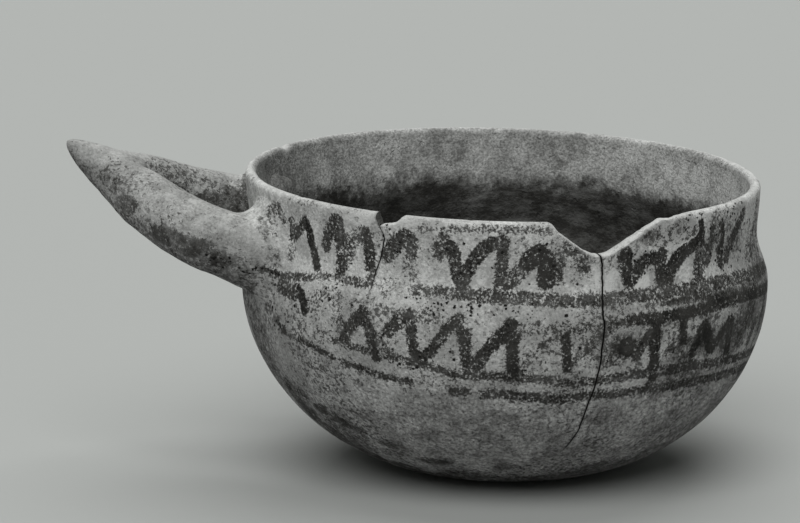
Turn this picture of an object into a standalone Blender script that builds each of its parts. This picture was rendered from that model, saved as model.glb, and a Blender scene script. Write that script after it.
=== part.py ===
# Handled bowl of painted pottery: a round-bottomed bowl with a wishbone handle plugged through its wall,
# a broken rim and one sherd set back between two cracks.
# The origin is the middle of the flat that the bowl rests on, +Z is up and the handle points along -X.

import math
from bisect import bisect_right

import bmesh
import bpy
from mathutils import Vector

MM = 0.001

# The bowl, in metres
NECK_RADIUS = 78.4 * MM         # outside, at the narrowest place under the lip
LIP_FLARE = 1.1 * MM            # the lip stands out this far beyond the neck
BELLY_SWELL = 3.1 * MM          # and the belly this far
RIM_HEIGHT = 91.2 * MM          # the lip's top, as a mean
NECK_DEPTH = 16.7 * MM          # from the lip's top down to the neck
BELLY_DEPTH = 32.7 * MM         # and down to the belly
BASE_RADIUS = 25.0 * MM         # the worn flat under the round bottom
WALL_THICKNESS = 4.3 * MM
LIP_THICKNESS = 3.3 * MM
THINNING_START = 1.4            # the station where the wall begins to thin towards the lip
BROKEN_ROUNDING = 0.1           # height of a broken edge's rounding, per unit of its thickness
LOWER_FULLNESS = 0.565          # 0.5 makes the lower wall an ellipse, more makes it slacker
LEAN = 0.0218                   # sideways set of the wall towards the handle, per unit of height
RIM_RISE_TO_HANDLE = 2.0 * MM   # the lip is this much higher than its mean at the handle
RIM_RISE_TO_BACK = 1.0 * MM     # and this much higher at the back

# The cracks, as pairs of station and angle
# A station runs up the wall: 0 at the edge of the flat, 1 at the belly, 2 at the lip.
# Angles are in degrees round the bowl, 0 at +X, -90 at the front and 180 at the handle.
CRACK_GAP = 0.3 * MM
CRACK_FOOT = 0.34               # the station where the sherd ends, low under the front
LEFT_CRACK = ((CRACK_FOOT, -100), (0.42, -107), (0.5, -115), (0.6, -120.5), (0.75, -123),
              (1.0, -121.2), (2.0, -115.8))
RIGHT_CRACK = ((CRACK_FOOT, -84), (0.42, -79), (0.5, -75), (0.6, -72.8), (0.75, -70.8),
               (1.0, -69.1), (2.0, -68.5))

# The broken rim: where its two slopes start and end, in degrees round the bowl
BREAK_DEPTH = 10.4 * MM
BREAK_START_ANGLE = -79.5
BREAK_FLOOR_START_ANGLE = -70.5
BREAK_FLOOR_END_ANGLE = -66.5
BREAK_END_ANGLE = -52.5
CHIP_DEPTH = 3.0 * MM           # the corner lost from the sherd, beside the left crack
CHIP_END_ANGLE = -111.0

# The handle
HANDLE_ANGLE = 184.3            # degrees round the bowl
HANDLE_SPREAD = 28.0 * MM       # from the handle's middle to the middle of each arm at its root
HANDLE_DEPTH = 16.6 * MM        # from the lip's top down to the middle of the roots
HANDLE_LENGTH = 58.1 * MM       # from the neck out to the horn's tip
ARM_STRAIGHT = 4.0 * MM         # from the neck out to where the arms begin to draw together
ARM_LENGTH = 46.1 * MM          # from the neck out to where their middles meet
HANDLE_RISE = 27.6 * MM         # the tip's height above the roots
HANDLE_ROLL = 0.036             # the arm at the back lies higher, by this much per unit of offset
HANDLE_CURVE = 1.45             # 1 is a straight climb, more climbs later
ARM_ROOT_RADIUS = 10.3 * MM
ARM_RADIUS = 8.5 * MM           # where the arms run together
HORN_RADIUS = 8.4 * MM
HORN_LENGTH = 24.0 * MM         # along the horn, from its tip to where it is thickest
HORN_BACK = 5.0 * MM            # how far its rounded back fills the fork
HORN_COVER = 0.5 * MM           # clay of the horn round the arms' ends
HORN_SHARPNESS = 0.55           # 0.5 is a parabola, more makes a sharper tip
TENON_RADIUS = 5.5 * MM
TENON_PROUD = 1.2 * MM          # how far the tenon stands out inside the bowl

# The clay that fixes the handle
COLLAR_SPREAD = 4.5 * MM        # how far a collar spreads over the wall and along the arm
COLLAR_EDGE = 0.8 * MM
PATCH_RADIUS = 12.0 * MM
PATCH_THICKNESS = 3.2 * MM
PATCH_EDGE = 0.8 * MM

# Clearances and the fineness of the meshes
SEAT_GAP = 0.3 * MM             # left between pieces that touch
LOWER_ROWS = 9
UPPER_ROWS = 9
WALL_COLUMNS = 68
SHERD_COLUMNS = 11
ARM_SIDES = 18
ARM_RINGS = 13
HORN_RINGS = 10
HORN_BACK_RINGS = 3
FILLET_STEPS = 4
TIP_CROWDING = 1.5              # 1 spaces the horn's rings evenly, more draws them to its tip
SHARP_ANGLE = 40                # edges sharper than this, in degrees, aren't smoothed in the shading
WALL_STEP = 0.02 * MM           # step over which the wall's slope is read
HANDLE_STEP = 0.5 * MM          # and the handle's heading

# Places that follow from the sizes above
RIM_RADIUS = NECK_RADIUS + LIP_FLARE
BELLY_RADIUS = NECK_RADIUS + BELLY_SWELL
NECK_HEIGHT = RIM_HEIGHT - NECK_DEPTH
BELLY_HEIGHT = RIM_HEIGHT - BELLY_DEPTH
HANDLE_HEIGHT = RIM_HEIGHT - HANDLE_DEPTH
HANDLE_STRAIGHT = NECK_RADIUS + ARM_STRAIGHT
HANDLE_MEET = NECK_RADIUS + ARM_LENGTH
HANDLE_REACH = NECK_RADIUS + HANDLE_LENGTH

# Colours of the fired clay, read as neutral greys, each with its roughness
SLIP = ((0.34, 0.35, 0.33), 0.85)
BODY_CLAY = ((0.27, 0.28, 0.26), 0.9)
SHERD_CLAY = ((0.30, 0.31, 0.29), 0.9)
COLLAR_CLAY = ((0.32, 0.33, 0.31), 0.88)
PATCH_CLAY = ((0.16, 0.16, 0.15), 0.92)


def ease(share):
    """Smooth step from 0 to 1."""
    share = min(max(share, 0.0), 1.0)
    return 0.5 - 0.5 * math.cos(math.pi * share)


def between(points, value):
    """Straight-line reading from a list of pairs."""
    keys = [key for key, reading in points]
    upper = min(max(bisect_right(keys, value), 1), len(points) - 1)
    (low, first), (high, last) = points[upper - 1], points[upper]
    share = min(max((value - low) / (high - low), 0.0), 1.0)
    return first + (last - first) * share


def wall_radius(height):
    """Outside radius of the bowl at a height, for a level rim."""
    if height < BELLY_HEIGHT:
        share = 1 - (1 - max(height, 0.0) / BELLY_HEIGHT) ** 2
        return BASE_RADIUS + (BELLY_RADIUS - BASE_RADIUS) * share ** LOWER_FULLNESS
    if height < NECK_HEIGHT:
        share = ease((height - BELLY_HEIGHT) / (NECK_HEIGHT - BELLY_HEIGHT))
        return BELLY_RADIUS + (NECK_RADIUS - BELLY_RADIUS) * share
    share = ease((height - NECK_HEIGHT) / (RIM_HEIGHT - NECK_HEIGHT))
    return NECK_RADIUS + (RIM_RADIUS - NECK_RADIUS) * share


def lip_height(angle):
    """Height of the whole lip at an angle in degrees."""
    turn = math.radians(angle)
    return RIM_HEIGHT - RIM_RISE_TO_HANDLE * math.cos(turn) + RIM_RISE_TO_BACK * math.sin(turn)


def rim_loss(angle):
    """Depth of the break below the whole lip at an angle in degrees."""
    if angle > 180:
        angle -= 360
    chip_start = LEFT_CRACK[-1][1]
    chip = between(((chip_start, CHIP_DEPTH), (CHIP_END_ANGLE, 0.0)), angle)
    if angle < chip_start:
        chip = 0.0
    slopes = ((BREAK_START_ANGLE, 0.0), (BREAK_FLOOR_START_ANGLE, BREAK_DEPTH),
              (BREAK_FLOOR_END_ANGLE, BREAK_DEPTH), (BREAK_END_ANGLE, 0.0))
    return max(chip, between(slopes, angle))


def section_point(height, depth):
    """Radius and height of a point of the section, at a depth inside the outer face."""
    low = max(height - WALL_STEP, 0.0)
    high = height + WALL_STEP
    rise = high - low
    run = wall_radius(high) - wall_radius(low)
    length = math.hypot(rise, run)
    return wall_radius(height) - depth * rise / length, height + depth * run / length


def spot(radius, height, angle):
    """World point at a radius and height of the leaning bowl."""
    turn = math.radians(angle)
    return Vector((radius * math.cos(turn) - LEAN * height, radius * math.sin(turn), height))


def wall_rows():
    """Stations of the rows of points, evenly spread along the lower and the upper wall."""
    lower = [row / LOWER_ROWS for row in range(LOWER_ROWS)]
    foot = min(range(LOWER_ROWS), key=lambda row: abs(lower[row] - CRACK_FOOT))
    lower[foot] = CRACK_FOOT
    upper = [1 + row / UPPER_ROWS for row in range(UPPER_ROWS + 1)]
    return lower + upper, foot


def thickness(station):
    """Wall thickness at a station: even, and thinning from the neck to the lip."""
    share = ease((station - THINNING_START) / (2 - THINNING_START))
    return WALL_THICKNESS + (LIP_THICKNESS - WALL_THICKNESS) * share


def wall_column(angle_at, stations):
    """Closed loop of points through the wall: up the outside, over the lip and down the inside.

    angle_at gives the column's angle at a station. Above the belly the stations draw down to a broken lip.
    """
    top_angle = angle_at(2.0)
    loss = rim_loss(top_angle)
    whole = lip_height(top_angle)
    worn = min(loss / LIP_THICKNESS, 1.0)
    rounding = (0.5 * (1 - worn) + BROKEN_ROUNDING * worn) * LIP_THICKNESS
    drawn = (whole - loss - rounding - BELLY_HEIGHT) / (whole - BELLY_HEIGHT)
    outer = []
    inner = []
    for station in stations:
        if station <= 1:
            place = station
            height = BELLY_HEIGHT * (1 - math.cos(0.5 * math.pi * station))
            lift = 0.0
        else:
            share = (station - 1) * drawn
            place = 1 + share
            height = BELLY_HEIGHT + share * (RIM_HEIGHT - BELLY_HEIGHT)
            lift = share * (whole - RIM_HEIGHT)
        angle = angle_at(place)
        radius, level = section_point(height, 0.0)
        outer.append(spot(radius, level + lift, angle))
        radius, level = section_point(height, thickness(place))
        inner.append(spot(radius, level + lift, angle))
    crest = []
    for quarter in (1, 2, 3):
        turn = math.pi * quarter / 4
        across = outer[-1].lerp(inner[-1], ease(quarter / 4))
        crest.append(across + Vector((0, 0, rounding * math.sin(turn))))
    return outer + crest + list(reversed(inner))


def crack_angle(crack, station, side):
    """Angle of a crack's face at a station, half the gap to one side of its line."""
    height = BELLY_HEIGHT * (1 - math.cos(0.5 * math.pi * min(station, 1.0)))
    half_gap = math.degrees(0.5 * CRACK_GAP / (wall_radius(height) - WALL_THICKNESS))
    return between(crack, station) + side * half_gap


def main_column_angle(share):
    """Angle of a column of the main wall at each station, from the right crack round to the left one."""
    def angle_at(station):
        reach = max(station, CRACK_FOOT)
        start = crack_angle(RIGHT_CRACK, reach, 1)
        end = crack_angle(LEFT_CRACK, reach, -1) + 360
        return start + (end - start) * share
    return angle_at


def sherd_column_angle(share):
    """Angle of a column of the sherd at each station, from the left crack to the right one."""
    def angle_at(station):
        start = crack_angle(LEFT_CRACK, station, 1)
        end = crack_angle(RIGHT_CRACK, station, -1)
        return start + (end - start) * share
    return angle_at


def new_object(name, mesh_data, finish):
    """Mesh object with its own material, built from a bmesh."""
    bmesh.ops.recalc_face_normals(mesh_data, faces=mesh_data.faces)
    if mesh_data.calc_volume(signed=True) < 0:
        bmesh.ops.reverse_faces(mesh_data, faces=mesh_data.faces)
    mesh = bpy.data.meshes.new(name)
    mesh_data.to_mesh(mesh)
    mesh_data.free()
    mesh.shade_smooth()
    mesh.set_sharp_from_angle(angle=math.radians(SHARP_ANGLE))
    colour, roughness = finish
    material = bpy.data.materials.new(name)
    material.use_nodes = True
    shader = material.node_tree.nodes["Principled BSDF"]
    shader.inputs["Base Color"].default_value = (*colour, 1.0)
    shader.inputs["Roughness"].default_value = roughness
    shader.inputs["Metallic"].default_value = 0.0
    mesh.materials.append(material)
    piece = bpy.data.objects.new(name, mesh)
    bpy.context.collection.objects.link(piece)
    return piece


def add_loops(mesh_data, loops):
    """Vertices of a list of point loops."""
    return [[mesh_data.verts.new(point) for point in loop] for loop in loops]


def skin(mesh_data, first, second, closed):
    """Quads between two rows of vertices."""
    count = len(first)
    for index in range(count if closed else count - 1):
        after = (index + 1) % count
        mesh_data.faces.new((first[index], first[after], second[after], second[index]))


def close_section(mesh_data, loop, rows):
    """Broken face across the wall: quads from outside to inside, and one face under the lip."""
    last = len(loop) - 1
    for row in range(rows - 1):
        mesh_data.faces.new((loop[row], loop[row + 1], loop[last - row - 1], loop[last - row]))
    mesh_data.faces.new(loop[rows - 1:last - rows + 2])


def make_bowl_wall():
    """Main wall: a ring of columns from the right crack round the back to the left crack, over a floor."""
    stations, foot = wall_rows()
    rows = len(stations)
    mesh_data = bmesh.new()
    columns = []
    for column in range(WALL_COLUMNS + 1):
        columns.append(wall_column(main_column_angle(column / WALL_COLUMNS), stations))
    verts = add_loops(mesh_data, columns)
    length = len(verts[0])
    for first, second in zip(verts, verts[1:]):
        skin(mesh_data, first, second, False)
    for loop in (verts[0], verts[-1]):
        upper = loop[foot:length - foot]
        close_section(mesh_data, upper, rows - foot)
    # Below the sherd the ring closes across the front
    start = crack_angle(LEFT_CRACK, CRACK_FOOT, -1)
    end = crack_angle(RIGHT_CRACK, CRACK_FOOT, 1)
    bridges = []
    for column in range(1, SHERD_COLUMNS):
        angle = start + (end - start) * column / SHERD_COLUMNS
        points = wall_column(lambda station, fixed=angle: fixed, stations)
        lower = points[:foot + 1] + points[length - foot - 1:]
        bridges.append([mesh_data.verts.new(point) for point in lower])
    left = verts[-1][:foot + 1] + verts[-1][length - foot - 1:]
    right = verts[0][:foot + 1] + verts[0][length - foot - 1:]
    ring = [left] + bridges + [right]
    for first, second in zip(ring, ring[1:]):
        skin(mesh_data, first, second, False)
    # The flat underneath and the floor inside
    around = verts[:-1] + [left] + bridges
    for index in (0, -1):
        edge = [loop[index] for loop in around]
        middle = mesh_data.verts.new(Vector((-LEAN * edge[0].co.z, 0.0, edge[0].co.z)))
        for first, second in zip(edge, edge[1:] + edge[:1]):
            mesh_data.faces.new((first, second, middle))
    return new_object("bowl_wall", mesh_data, BODY_CLAY)


def make_front_sherd():
    """The sherd: columns between the two cracks, from their foot to the lip."""
    stations, foot = wall_rows()
    stations = stations[foot:]
    rows = len(stations)
    edge_lift = CRACK_GAP / (0.5 * math.pi * BELLY_HEIGHT)
    stations[0] += edge_lift
    mesh_data = bmesh.new()
    columns = []
    for column in range(SHERD_COLUMNS + 1):
        columns.append(wall_column(sherd_column_angle(column / SHERD_COLUMNS), stations))
    verts = add_loops(mesh_data, columns)
    for first, second in zip(verts, verts[1:]):
        skin(mesh_data, first, second, True)
    for loop in (verts[0], verts[-1]):
        close_section(mesh_data, loop, rows)
    return new_object("front_sherd", mesh_data, SHERD_CLAY)


def handle_spot(reach, offset, height):
    """World point in the handle's own directions: outwards, sideways towards the back, and up."""
    turn = math.radians(HANDLE_ANGLE)
    outward = Vector((math.cos(turn), math.sin(turn), 0))
    sideways = Vector((outward.y, -outward.x, 0))
    return outward * reach + sideways * offset + Vector((0, 0, height))


def wall_reach(offset, height, depth):
    """Distance out along the handle where the wall's face lies, at an offset, height and depth."""
    turn = math.radians(HANDLE_ANGLE)
    aside = math.degrees(math.asin(offset / NECK_RADIUS))
    stretch = (lip_height(HANDLE_ANGLE - aside) - BELLY_HEIGHT) / (RIM_HEIGHT - BELLY_HEIGHT)
    level = height if height < BELLY_HEIGHT else BELLY_HEIGHT + (height - BELLY_HEIGHT) / stretch
    radius = wall_radius(level) - depth
    slide = -LEAN * height
    across = offset - slide * math.sin(turn)
    return math.sqrt(radius ** 2 - across ** 2) + slide * math.cos(turn)


def arm_centre(reach, side):
    """Middle of an arm, as reach, offset and height."""
    drawn = min(max((reach - HANDLE_STRAIGHT) / (HANDLE_MEET - HANDLE_STRAIGHT), 0.0), 1.0)
    climb = max((reach - HANDLE_STRAIGHT) / (HANDLE_REACH - HANDLE_STRAIGHT), 0.0)
    offset = side * HANDLE_SPREAD * math.cos(0.5 * math.pi * drawn)
    height = HANDLE_HEIGHT + HANDLE_ROLL * offset + HANDLE_RISE * climb ** HANDLE_CURVE
    return Vector((reach, offset, height))


def arm_heading(reach, side):
    """Direction in which an arm runs at a reach."""
    return (arm_centre(reach + HANDLE_STEP, side) - arm_centre(reach - HANDLE_STEP, side)).normalized()


def horn_back(reach):
    """Length along the horn from its tip back to a reach."""
    slope = HANDLE_CURVE * HANDLE_RISE / (HANDLE_REACH - HANDLE_STRAIGHT)
    return (HANDLE_REACH - reach) * math.hypot(1.0, slope)


def horn_radius(back):
    """Radius of the horn at a length back from its tip."""
    return HORN_RADIUS * (back / HORN_LENGTH) ** HORN_SHARPNESS


def arm_radius(reach):
    """Radius of an arm: thick at the root, and inside the horn's clay at its end."""
    share = (reach - HANDLE_STRAIGHT) / (HANDLE_MEET - HANDLE_STRAIGHT)
    plain = ARM_ROOT_RADIUS + (ARM_RADIUS - ARM_ROOT_RADIUS) * ease(share)
    return min(plain, horn_radius(horn_back(reach)) - HORN_COVER)


def ring_round(centre, heading, radius):
    """Ring of points square to a heading, in handle directions, starting at the far side."""
    level = Vector((-heading.y, heading.x, 0)).normalized()
    upright = heading.cross(level).normalized()
    points = []
    for index in range(ARM_SIDES):
        turn = 2 * math.pi * index / ARM_SIDES
        points.append(centre + level * radius * math.cos(turn) + upright * radius * math.sin(turn))
    return points


def seat_ring(side, radius, lift, depth):
    """Ring of points that follows the wall's face round an arm, lifted off it along the arm."""
    root = arm_centre(HANDLE_STRAIGHT, side)
    points = []
    for index in range(ARM_SIDES):
        turn = 2 * math.pi * index / ARM_SIDES
        offset = root.y + radius * math.cos(turn)
        height = root.z + radius * math.sin(turn)
        reach = wall_reach(offset, height, depth) + lift
        along = arm_centre(reach, side)
        points.append(Vector((reach, offset + along.y - root.y, height + along.z - root.z)))
    return points


def tube_object(name, rings, finish):
    """Closed tube over rings of points in handle directions, with a fan at each end."""
    mesh_data = bmesh.new()
    loops = [[mesh_data.verts.new(handle_spot(*point)) for point in ring] for ring in rings]
    for first, second in zip(loops, loops[1:]):
        skin(mesh_data, first, second, True)
    for loop in (loops[0], loops[-1]):
        middle = sum((vert.co for vert in loop), Vector()) / len(loop)
        centre = mesh_data.verts.new(middle)
        for first, second in zip(loop, loop[1:] + loop[:1]):
            mesh_data.faces.new((first, second, centre))
    return new_object(name, mesh_data, finish)


def make_arm(name, side):
    """One arm with its tenon: from inside the bowl, out through the wall and up to the horn."""
    rings = [seat_ring(side, TENON_RADIUS, -TENON_PROUD, WALL_THICKNESS),
             seat_ring(side, TENON_RADIUS, SEAT_GAP, 0.0),
             seat_ring(side, ARM_ROOT_RADIUS, SEAT_GAP, 0.0)]
    for index in range(1, ARM_RINGS + 1):
        reach = HANDLE_STRAIGHT + (HANDLE_MEET - HANDLE_STRAIGHT) * index / ARM_RINGS
        rings.append(ring_round(arm_centre(reach, side), arm_heading(reach, side), arm_radius(reach)))
    return tube_object(name, rings, SLIP)


def make_horn():
    """The pointed horn that the two arms are pinched into, from its rounded back in the fork to its tip."""
    places = []
    for index in range(HORN_BACK_RINGS, 0, -1):
        turn = 0.5 * math.pi * index / (HORN_BACK_RINGS + 0.5)
        places.append((HORN_LENGTH + HORN_BACK * math.sin(turn), HORN_RADIUS * math.cos(turn)))
    for index in range(HORN_RINGS):
        back = HORN_LENGTH * (1 - index / HORN_RINGS) ** TIP_CROWDING
        places.append((back, horn_radius(back)))
    rings = []
    for back, radius in places:
        reach = HANDLE_REACH - back * (HANDLE_REACH - HANDLE_STRAIGHT) / horn_back(HANDLE_STRAIGHT)
        rings.append(ring_round(arm_centre(reach, 0), arm_heading(reach, 0), radius))
    return tube_object("horn", rings, SLIP)


def combine(piece, other, operation):
    """Boolean of two objects, kept live on the first, with the other as a hidden cutter."""
    modifier = piece.modifiers.new(other.name, "BOOLEAN")
    modifier.object = other
    modifier.operation = operation
    modifier.solver = "EXACT"
    other.hide_render = True
    other.display_type = "WIRE"


def make_handle():
    """Wishbone handle: two arms and the horn, joined."""
    handle = make_arm("wishbone_handle", -1)
    combine(handle, make_horn(), "UNION")
    combine(handle, make_arm("far_arm", 1), "UNION")
    return handle


def cut_sockets(bowl):
    """Holes through the wall for the two tenons."""
    for name, side in (("near_socket", -1), ("far_socket", 1)):
        radius = TENON_RADIUS + SEAT_GAP
        rings = [seat_ring(side, radius, -WALL_THICKNESS, WALL_THICKNESS),
                 seat_ring(side, radius, WALL_THICKNESS, 0.0)]
        combine(bowl, tube_object(name, rings, BODY_CLAY), "DIFFERENCE")


def ring_object(name, profile, side, depth, finish):
    """Ring of clay that follows the wall, from a closed profile of radius and lift."""
    mesh_data = bmesh.new()
    rings = [seat_ring(side, radius, lift, depth) for radius, lift in profile]
    loops = [[mesh_data.verts.new(handle_spot(*point)) for point in ring] for ring in rings]
    for first, second in zip(loops, loops[1:] + loops[:1]):
        skin(mesh_data, first, second, True)
    return new_object(name, mesh_data, finish)


def make_collar(name, side):
    """Clay smoothed round an arm's root, hollow in section like a fillet."""
    bore = ARM_ROOT_RADIUS + SEAT_GAP
    profile = [(bore, SEAT_GAP), (bore, COLLAR_SPREAD)]
    for index in range(FILLET_STEPS + 1):
        turn = 0.5 * math.pi * index / FILLET_STEPS
        span = COLLAR_SPREAD - COLLAR_EDGE
        radius = bore + COLLAR_EDGE + span * (1 - math.cos(turn))
        profile.append((radius, COLLAR_EDGE + span * (1 - math.sin(turn))))
    profile.append((bore + COLLAR_SPREAD, SEAT_GAP))
    return ring_object(name, profile, side, 0.0, COLLAR_CLAY)


def make_patch(name, side):
    """Low pad of clay over a tenon's end inside the bowl, hollowed where the tenon stands proud."""
    hole = TENON_RADIUS + SEAT_GAP
    pocket = TENON_PROUD + SEAT_GAP
    near = [(hole, -pocket), (hole, -SEAT_GAP), (PATCH_RADIUS, -SEAT_GAP), (PATCH_RADIUS, -PATCH_EDGE)]
    dome = []
    for index in range(1, FILLET_STEPS):
        turn = 0.5 * math.pi * index / FILLET_STEPS
        lift = PATCH_EDGE + (PATCH_THICKNESS - PATCH_EDGE) * math.sin(turn)
        dome.append((PATCH_RADIUS * math.cos(turn), -lift))
    rings = [seat_ring(side, radius, lift, WALL_THICKNESS) for radius, lift in near + dome]
    return tube_object(name, rings, PATCH_CLAY)


def build():
    """Every piece of the bowl."""
    for old in list(bpy.data.objects):
        bpy.data.objects.remove(old)
    bowl = make_bowl_wall()
    cut_sockets(bowl)
    make_front_sherd()
    make_handle()
    make_collar("near_root_collar", -1)
    make_collar("far_root_collar", 1)
    make_patch("near_tenon_patch", -1)
    make_patch("far_tenon_patch", 1)


build()
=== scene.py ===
# %% [markdown]
# # A painted bowl with a wishbone handle
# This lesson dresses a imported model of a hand-built pottery bowl. The bowl is about 16 cm across, has a
# round bottom, a broken rim and one sherd set back between two cracks. Its handle is a roll of clay bent
# double and pinched into a horn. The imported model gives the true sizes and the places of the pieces, and
# here each piece gets its fine surface: hand-made unevenness, worn paint, cracks, soil and pits.

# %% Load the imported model
import math
import random

import bmesh
import bpy
import numpy as np
from mathutils import Matrix, Vector


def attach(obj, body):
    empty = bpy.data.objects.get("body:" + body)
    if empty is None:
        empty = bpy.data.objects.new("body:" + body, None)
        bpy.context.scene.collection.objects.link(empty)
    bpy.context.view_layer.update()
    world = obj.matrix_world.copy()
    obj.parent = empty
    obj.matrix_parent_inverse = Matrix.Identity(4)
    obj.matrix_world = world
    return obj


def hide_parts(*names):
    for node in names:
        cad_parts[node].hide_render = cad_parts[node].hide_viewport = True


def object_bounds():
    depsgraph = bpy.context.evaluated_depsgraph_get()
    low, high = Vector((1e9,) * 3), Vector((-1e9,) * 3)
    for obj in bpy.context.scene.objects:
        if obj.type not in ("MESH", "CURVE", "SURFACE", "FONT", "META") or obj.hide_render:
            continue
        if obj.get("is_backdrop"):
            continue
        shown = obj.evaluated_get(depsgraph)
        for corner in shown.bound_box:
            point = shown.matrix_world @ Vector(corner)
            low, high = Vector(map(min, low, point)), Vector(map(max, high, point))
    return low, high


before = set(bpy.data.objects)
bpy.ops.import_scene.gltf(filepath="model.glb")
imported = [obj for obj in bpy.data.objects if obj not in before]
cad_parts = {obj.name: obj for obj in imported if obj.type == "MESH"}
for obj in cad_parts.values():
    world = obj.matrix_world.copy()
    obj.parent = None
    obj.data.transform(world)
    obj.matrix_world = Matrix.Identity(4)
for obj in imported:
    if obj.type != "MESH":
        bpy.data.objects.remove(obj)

MM = 0.001


def in_scene(name, data):
    """New object that stands in the scene."""
    made = bpy.data.objects.new(name, data)
    bpy.context.scene.collection.objects.link(made)
    return made


cad_box = [list(corner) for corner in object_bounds()]
print("packed nodes:", ", ".join(sorted(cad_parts)))

# %% [markdown]
# ## The camera
# The photograph was taken from the front, a little above the rim, and from some way off, so the bowl shows
# almost no perspective. A long lens does the same. The lens follows from how large one millimetre should be
# in a picture 800 pixels wide. The bowl stands right of the middle, so the camera is turned until a chosen
# point of the bowl lands on its pixel, and no lens shift is needed.

# %% Place and turn the camera
PICTURE_WIDTH = 800
PICTURE_HEIGHT = 523
PIXELS_PER_MM = 3.21
CAMERA_DISTANCE = 1300 * MM
CAMERA_ELEVATION = math.radians(12.0)
AIM_POINT = Vector((-1.42, 0.0, 44.1)) * MM
AIM_PIXEL = (503.5, 321.0)          # where the aim point lies in the photograph
SENSOR_WIDTH = 36.0
AIMING_ROUNDS = 20


def turned_towards(start, aim, right_share, up_share):
    """Viewing direction that shows the aim point off the middle, by shares of its distance."""
    to_aim = (aim - start).normalized()
    view = to_aim.copy()
    for attempt in range(AIMING_ROUNDS):
        right = view.cross(Vector((0, 0, 1))).normalized()
        up = right.cross(view)
        depth = to_aim.dot(view)
        view -= right * (right_share - to_aim.dot(right) / depth)
        view -= up * (up_share - to_aim.dot(up) / depth)
        view.normalize()
    return view


focal_pixels = PIXELS_PER_MM * CAMERA_DISTANCE / MM
camera_data = bpy.data.cameras.new("camera")
camera_data.sensor_width = SENSOR_WIDTH
camera_data.lens = SENSOR_WIDTH * focal_pixels / PICTURE_WIDTH
camera_data.clip_start = 0.05
camera_data.clip_end = 100.0
camera = in_scene("camera", camera_data)
bpy.context.scene.camera = camera
camera.location = AIM_POINT + CAMERA_DISTANCE * Vector(
    (0, -math.cos(CAMERA_ELEVATION), math.sin(CAMERA_ELEVATION)))
direction = turned_towards(camera.location, AIM_POINT,
                           (AIM_PIXEL[0] - PICTURE_WIDTH / 2) / focal_pixels,
                           (PICTURE_HEIGHT / 2 - AIM_PIXEL[1]) / focal_pixels)
camera.rotation_euler = direction.to_track_quat("-Z", "Y").to_euler()
print(f"lens {camera_data.lens:.1f} mm on a sensor {SENSOR_WIDTH:.0f} mm wide")

# %% [markdown]
# ## Helpers for node trees
# Shader trees and Geometry Nodes trees are built the same way: a node is added, its settings are made, and
# each input gets a value or a link. A small class lets the lesson write the arithmetic of a tree as plain
# sums: adding or multiplying two values puts in the Math node that does it. The sockets of a group are made
# on its interface.

# %% Small tools for building node trees
class Value:
    """A number that runs through a node tree. Sums with it put Math nodes into the tree."""

    def __init__(self, tree, socket):
        self.tree = tree
        self.socket = socket

    def __add__(self, other):
        return maths(self.tree, "ADD", self, other)

    def __sub__(self, other):
        return maths(self.tree, "SUBTRACT", self, other)

    def __mul__(self, other):
        return maths(self.tree, "MULTIPLY", self, other)

    def __truediv__(self, other):
        return maths(self.tree, "DIVIDE", self, other)

    def __rtruediv__(self, other):
        return maths(self.tree, "DIVIDE", other, self)

    def ramp(self, start, end, low=0.0, high=1.0):
        """Smooth step from low, where the value is at start, to high, where it is at end."""
        made = put(self.tree, "ShaderNodeMapRange", {"Value": self, "From Min": start, "From Max": end,
                                                     "To Min": low, "To Max": high},
                   interpolation_type="SMOOTHSTEP")
        return Value(self.tree, made.outputs["Result"])


def give(tree, socket, value):
    """Links a value to an input socket, or writes a plain number into it."""
    value = getattr(value, "socket", value)
    if isinstance(value, bpy.types.NodeSocket):
        tree.links.new(value, socket)
    else:
        socket.default_value = value


def put(tree, kind, inputs=None, **settings):
    """Adds a node, makes its settings, and gives each named or numbered input a value or a link."""
    made = tree.nodes.new(kind)
    for name, setting in settings.items():
        setattr(made, name, setting)
    for key, value in (inputs or {}).items():
        give(tree, made.inputs[key], value)
    return made


def maths(tree, operation, *values):
    """Result of a Math node."""
    return Value(tree, put(tree, "ShaderNodeMath", dict(enumerate(values)), operation=operation).outputs[0])


def vector_maths(tree, operation, first, second=None):
    """Result of a Vector Math node."""
    made = put(tree, "ShaderNodeVectorMath", {0: first}, operation=operation)
    if second is not None:
        give(tree, made.inputs["Scale" if operation == "SCALE" else 1], second)
    return made.outputs["Vector"]


def new_group(name, kind, inputs, outputs):
    """Node group, the values that come into it and the sockets that leave it.

    An input is given with its start value, or with the name of its type where it has none.
    """
    tree = bpy.data.node_groups.new(name, kind)
    for label, start in inputs.items():
        type_name = start if isinstance(start, str) else type(start).__name__.capitalize()
        socket = tree.interface.new_socket(name=label, in_out="INPUT", socket_type="NodeSocket" + type_name)
        if type_name != start:
            socket.default_value = start
    for label, type_name in outputs.items():
        tree.interface.new_socket(name=label, in_out="OUTPUT", socket_type="NodeSocket" + type_name)
    sources = put(tree, "NodeGroupInput").outputs
    return tree, {label: Value(tree, sources[label]) for label in inputs}, put(tree, "NodeGroupOutput").inputs


# %% [markdown]
# ## Light and floor
# The photograph has a broad soft light high behind the bowl and a second one high in front, a little to
# the left. So the upper wall is pale, the round bottom falls into shade, and the floor under the bowl is
# black at the middle. Two sun lamps with wide angles give that, the same over the whole floor, and the
# world adds a little fill. A colour renders about as it is written. The floor looks pale to the camera and
# throws less light back up, because the photograph's round bottom is dark.

# %% Sun, sky and floor
PAPER_COLOUR = (0.455, 0.470, 0.455, 1.0)      # of the floor and of the sky behind it
FLOOR_REACH = 6.0
FILL = 0.2                          # strength of the world's light on the object
FLOOR_BOUNCE = 0.30                 # grey that the floor shows to the bowl above it
# Each lamp: its name, power, width, tilt to the front and tilt to the left, in degrees
LAMPS = (("high_behind", 1.62, 60, -26, 0), ("soft_front", 1.66, 50, 39, -9))

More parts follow.
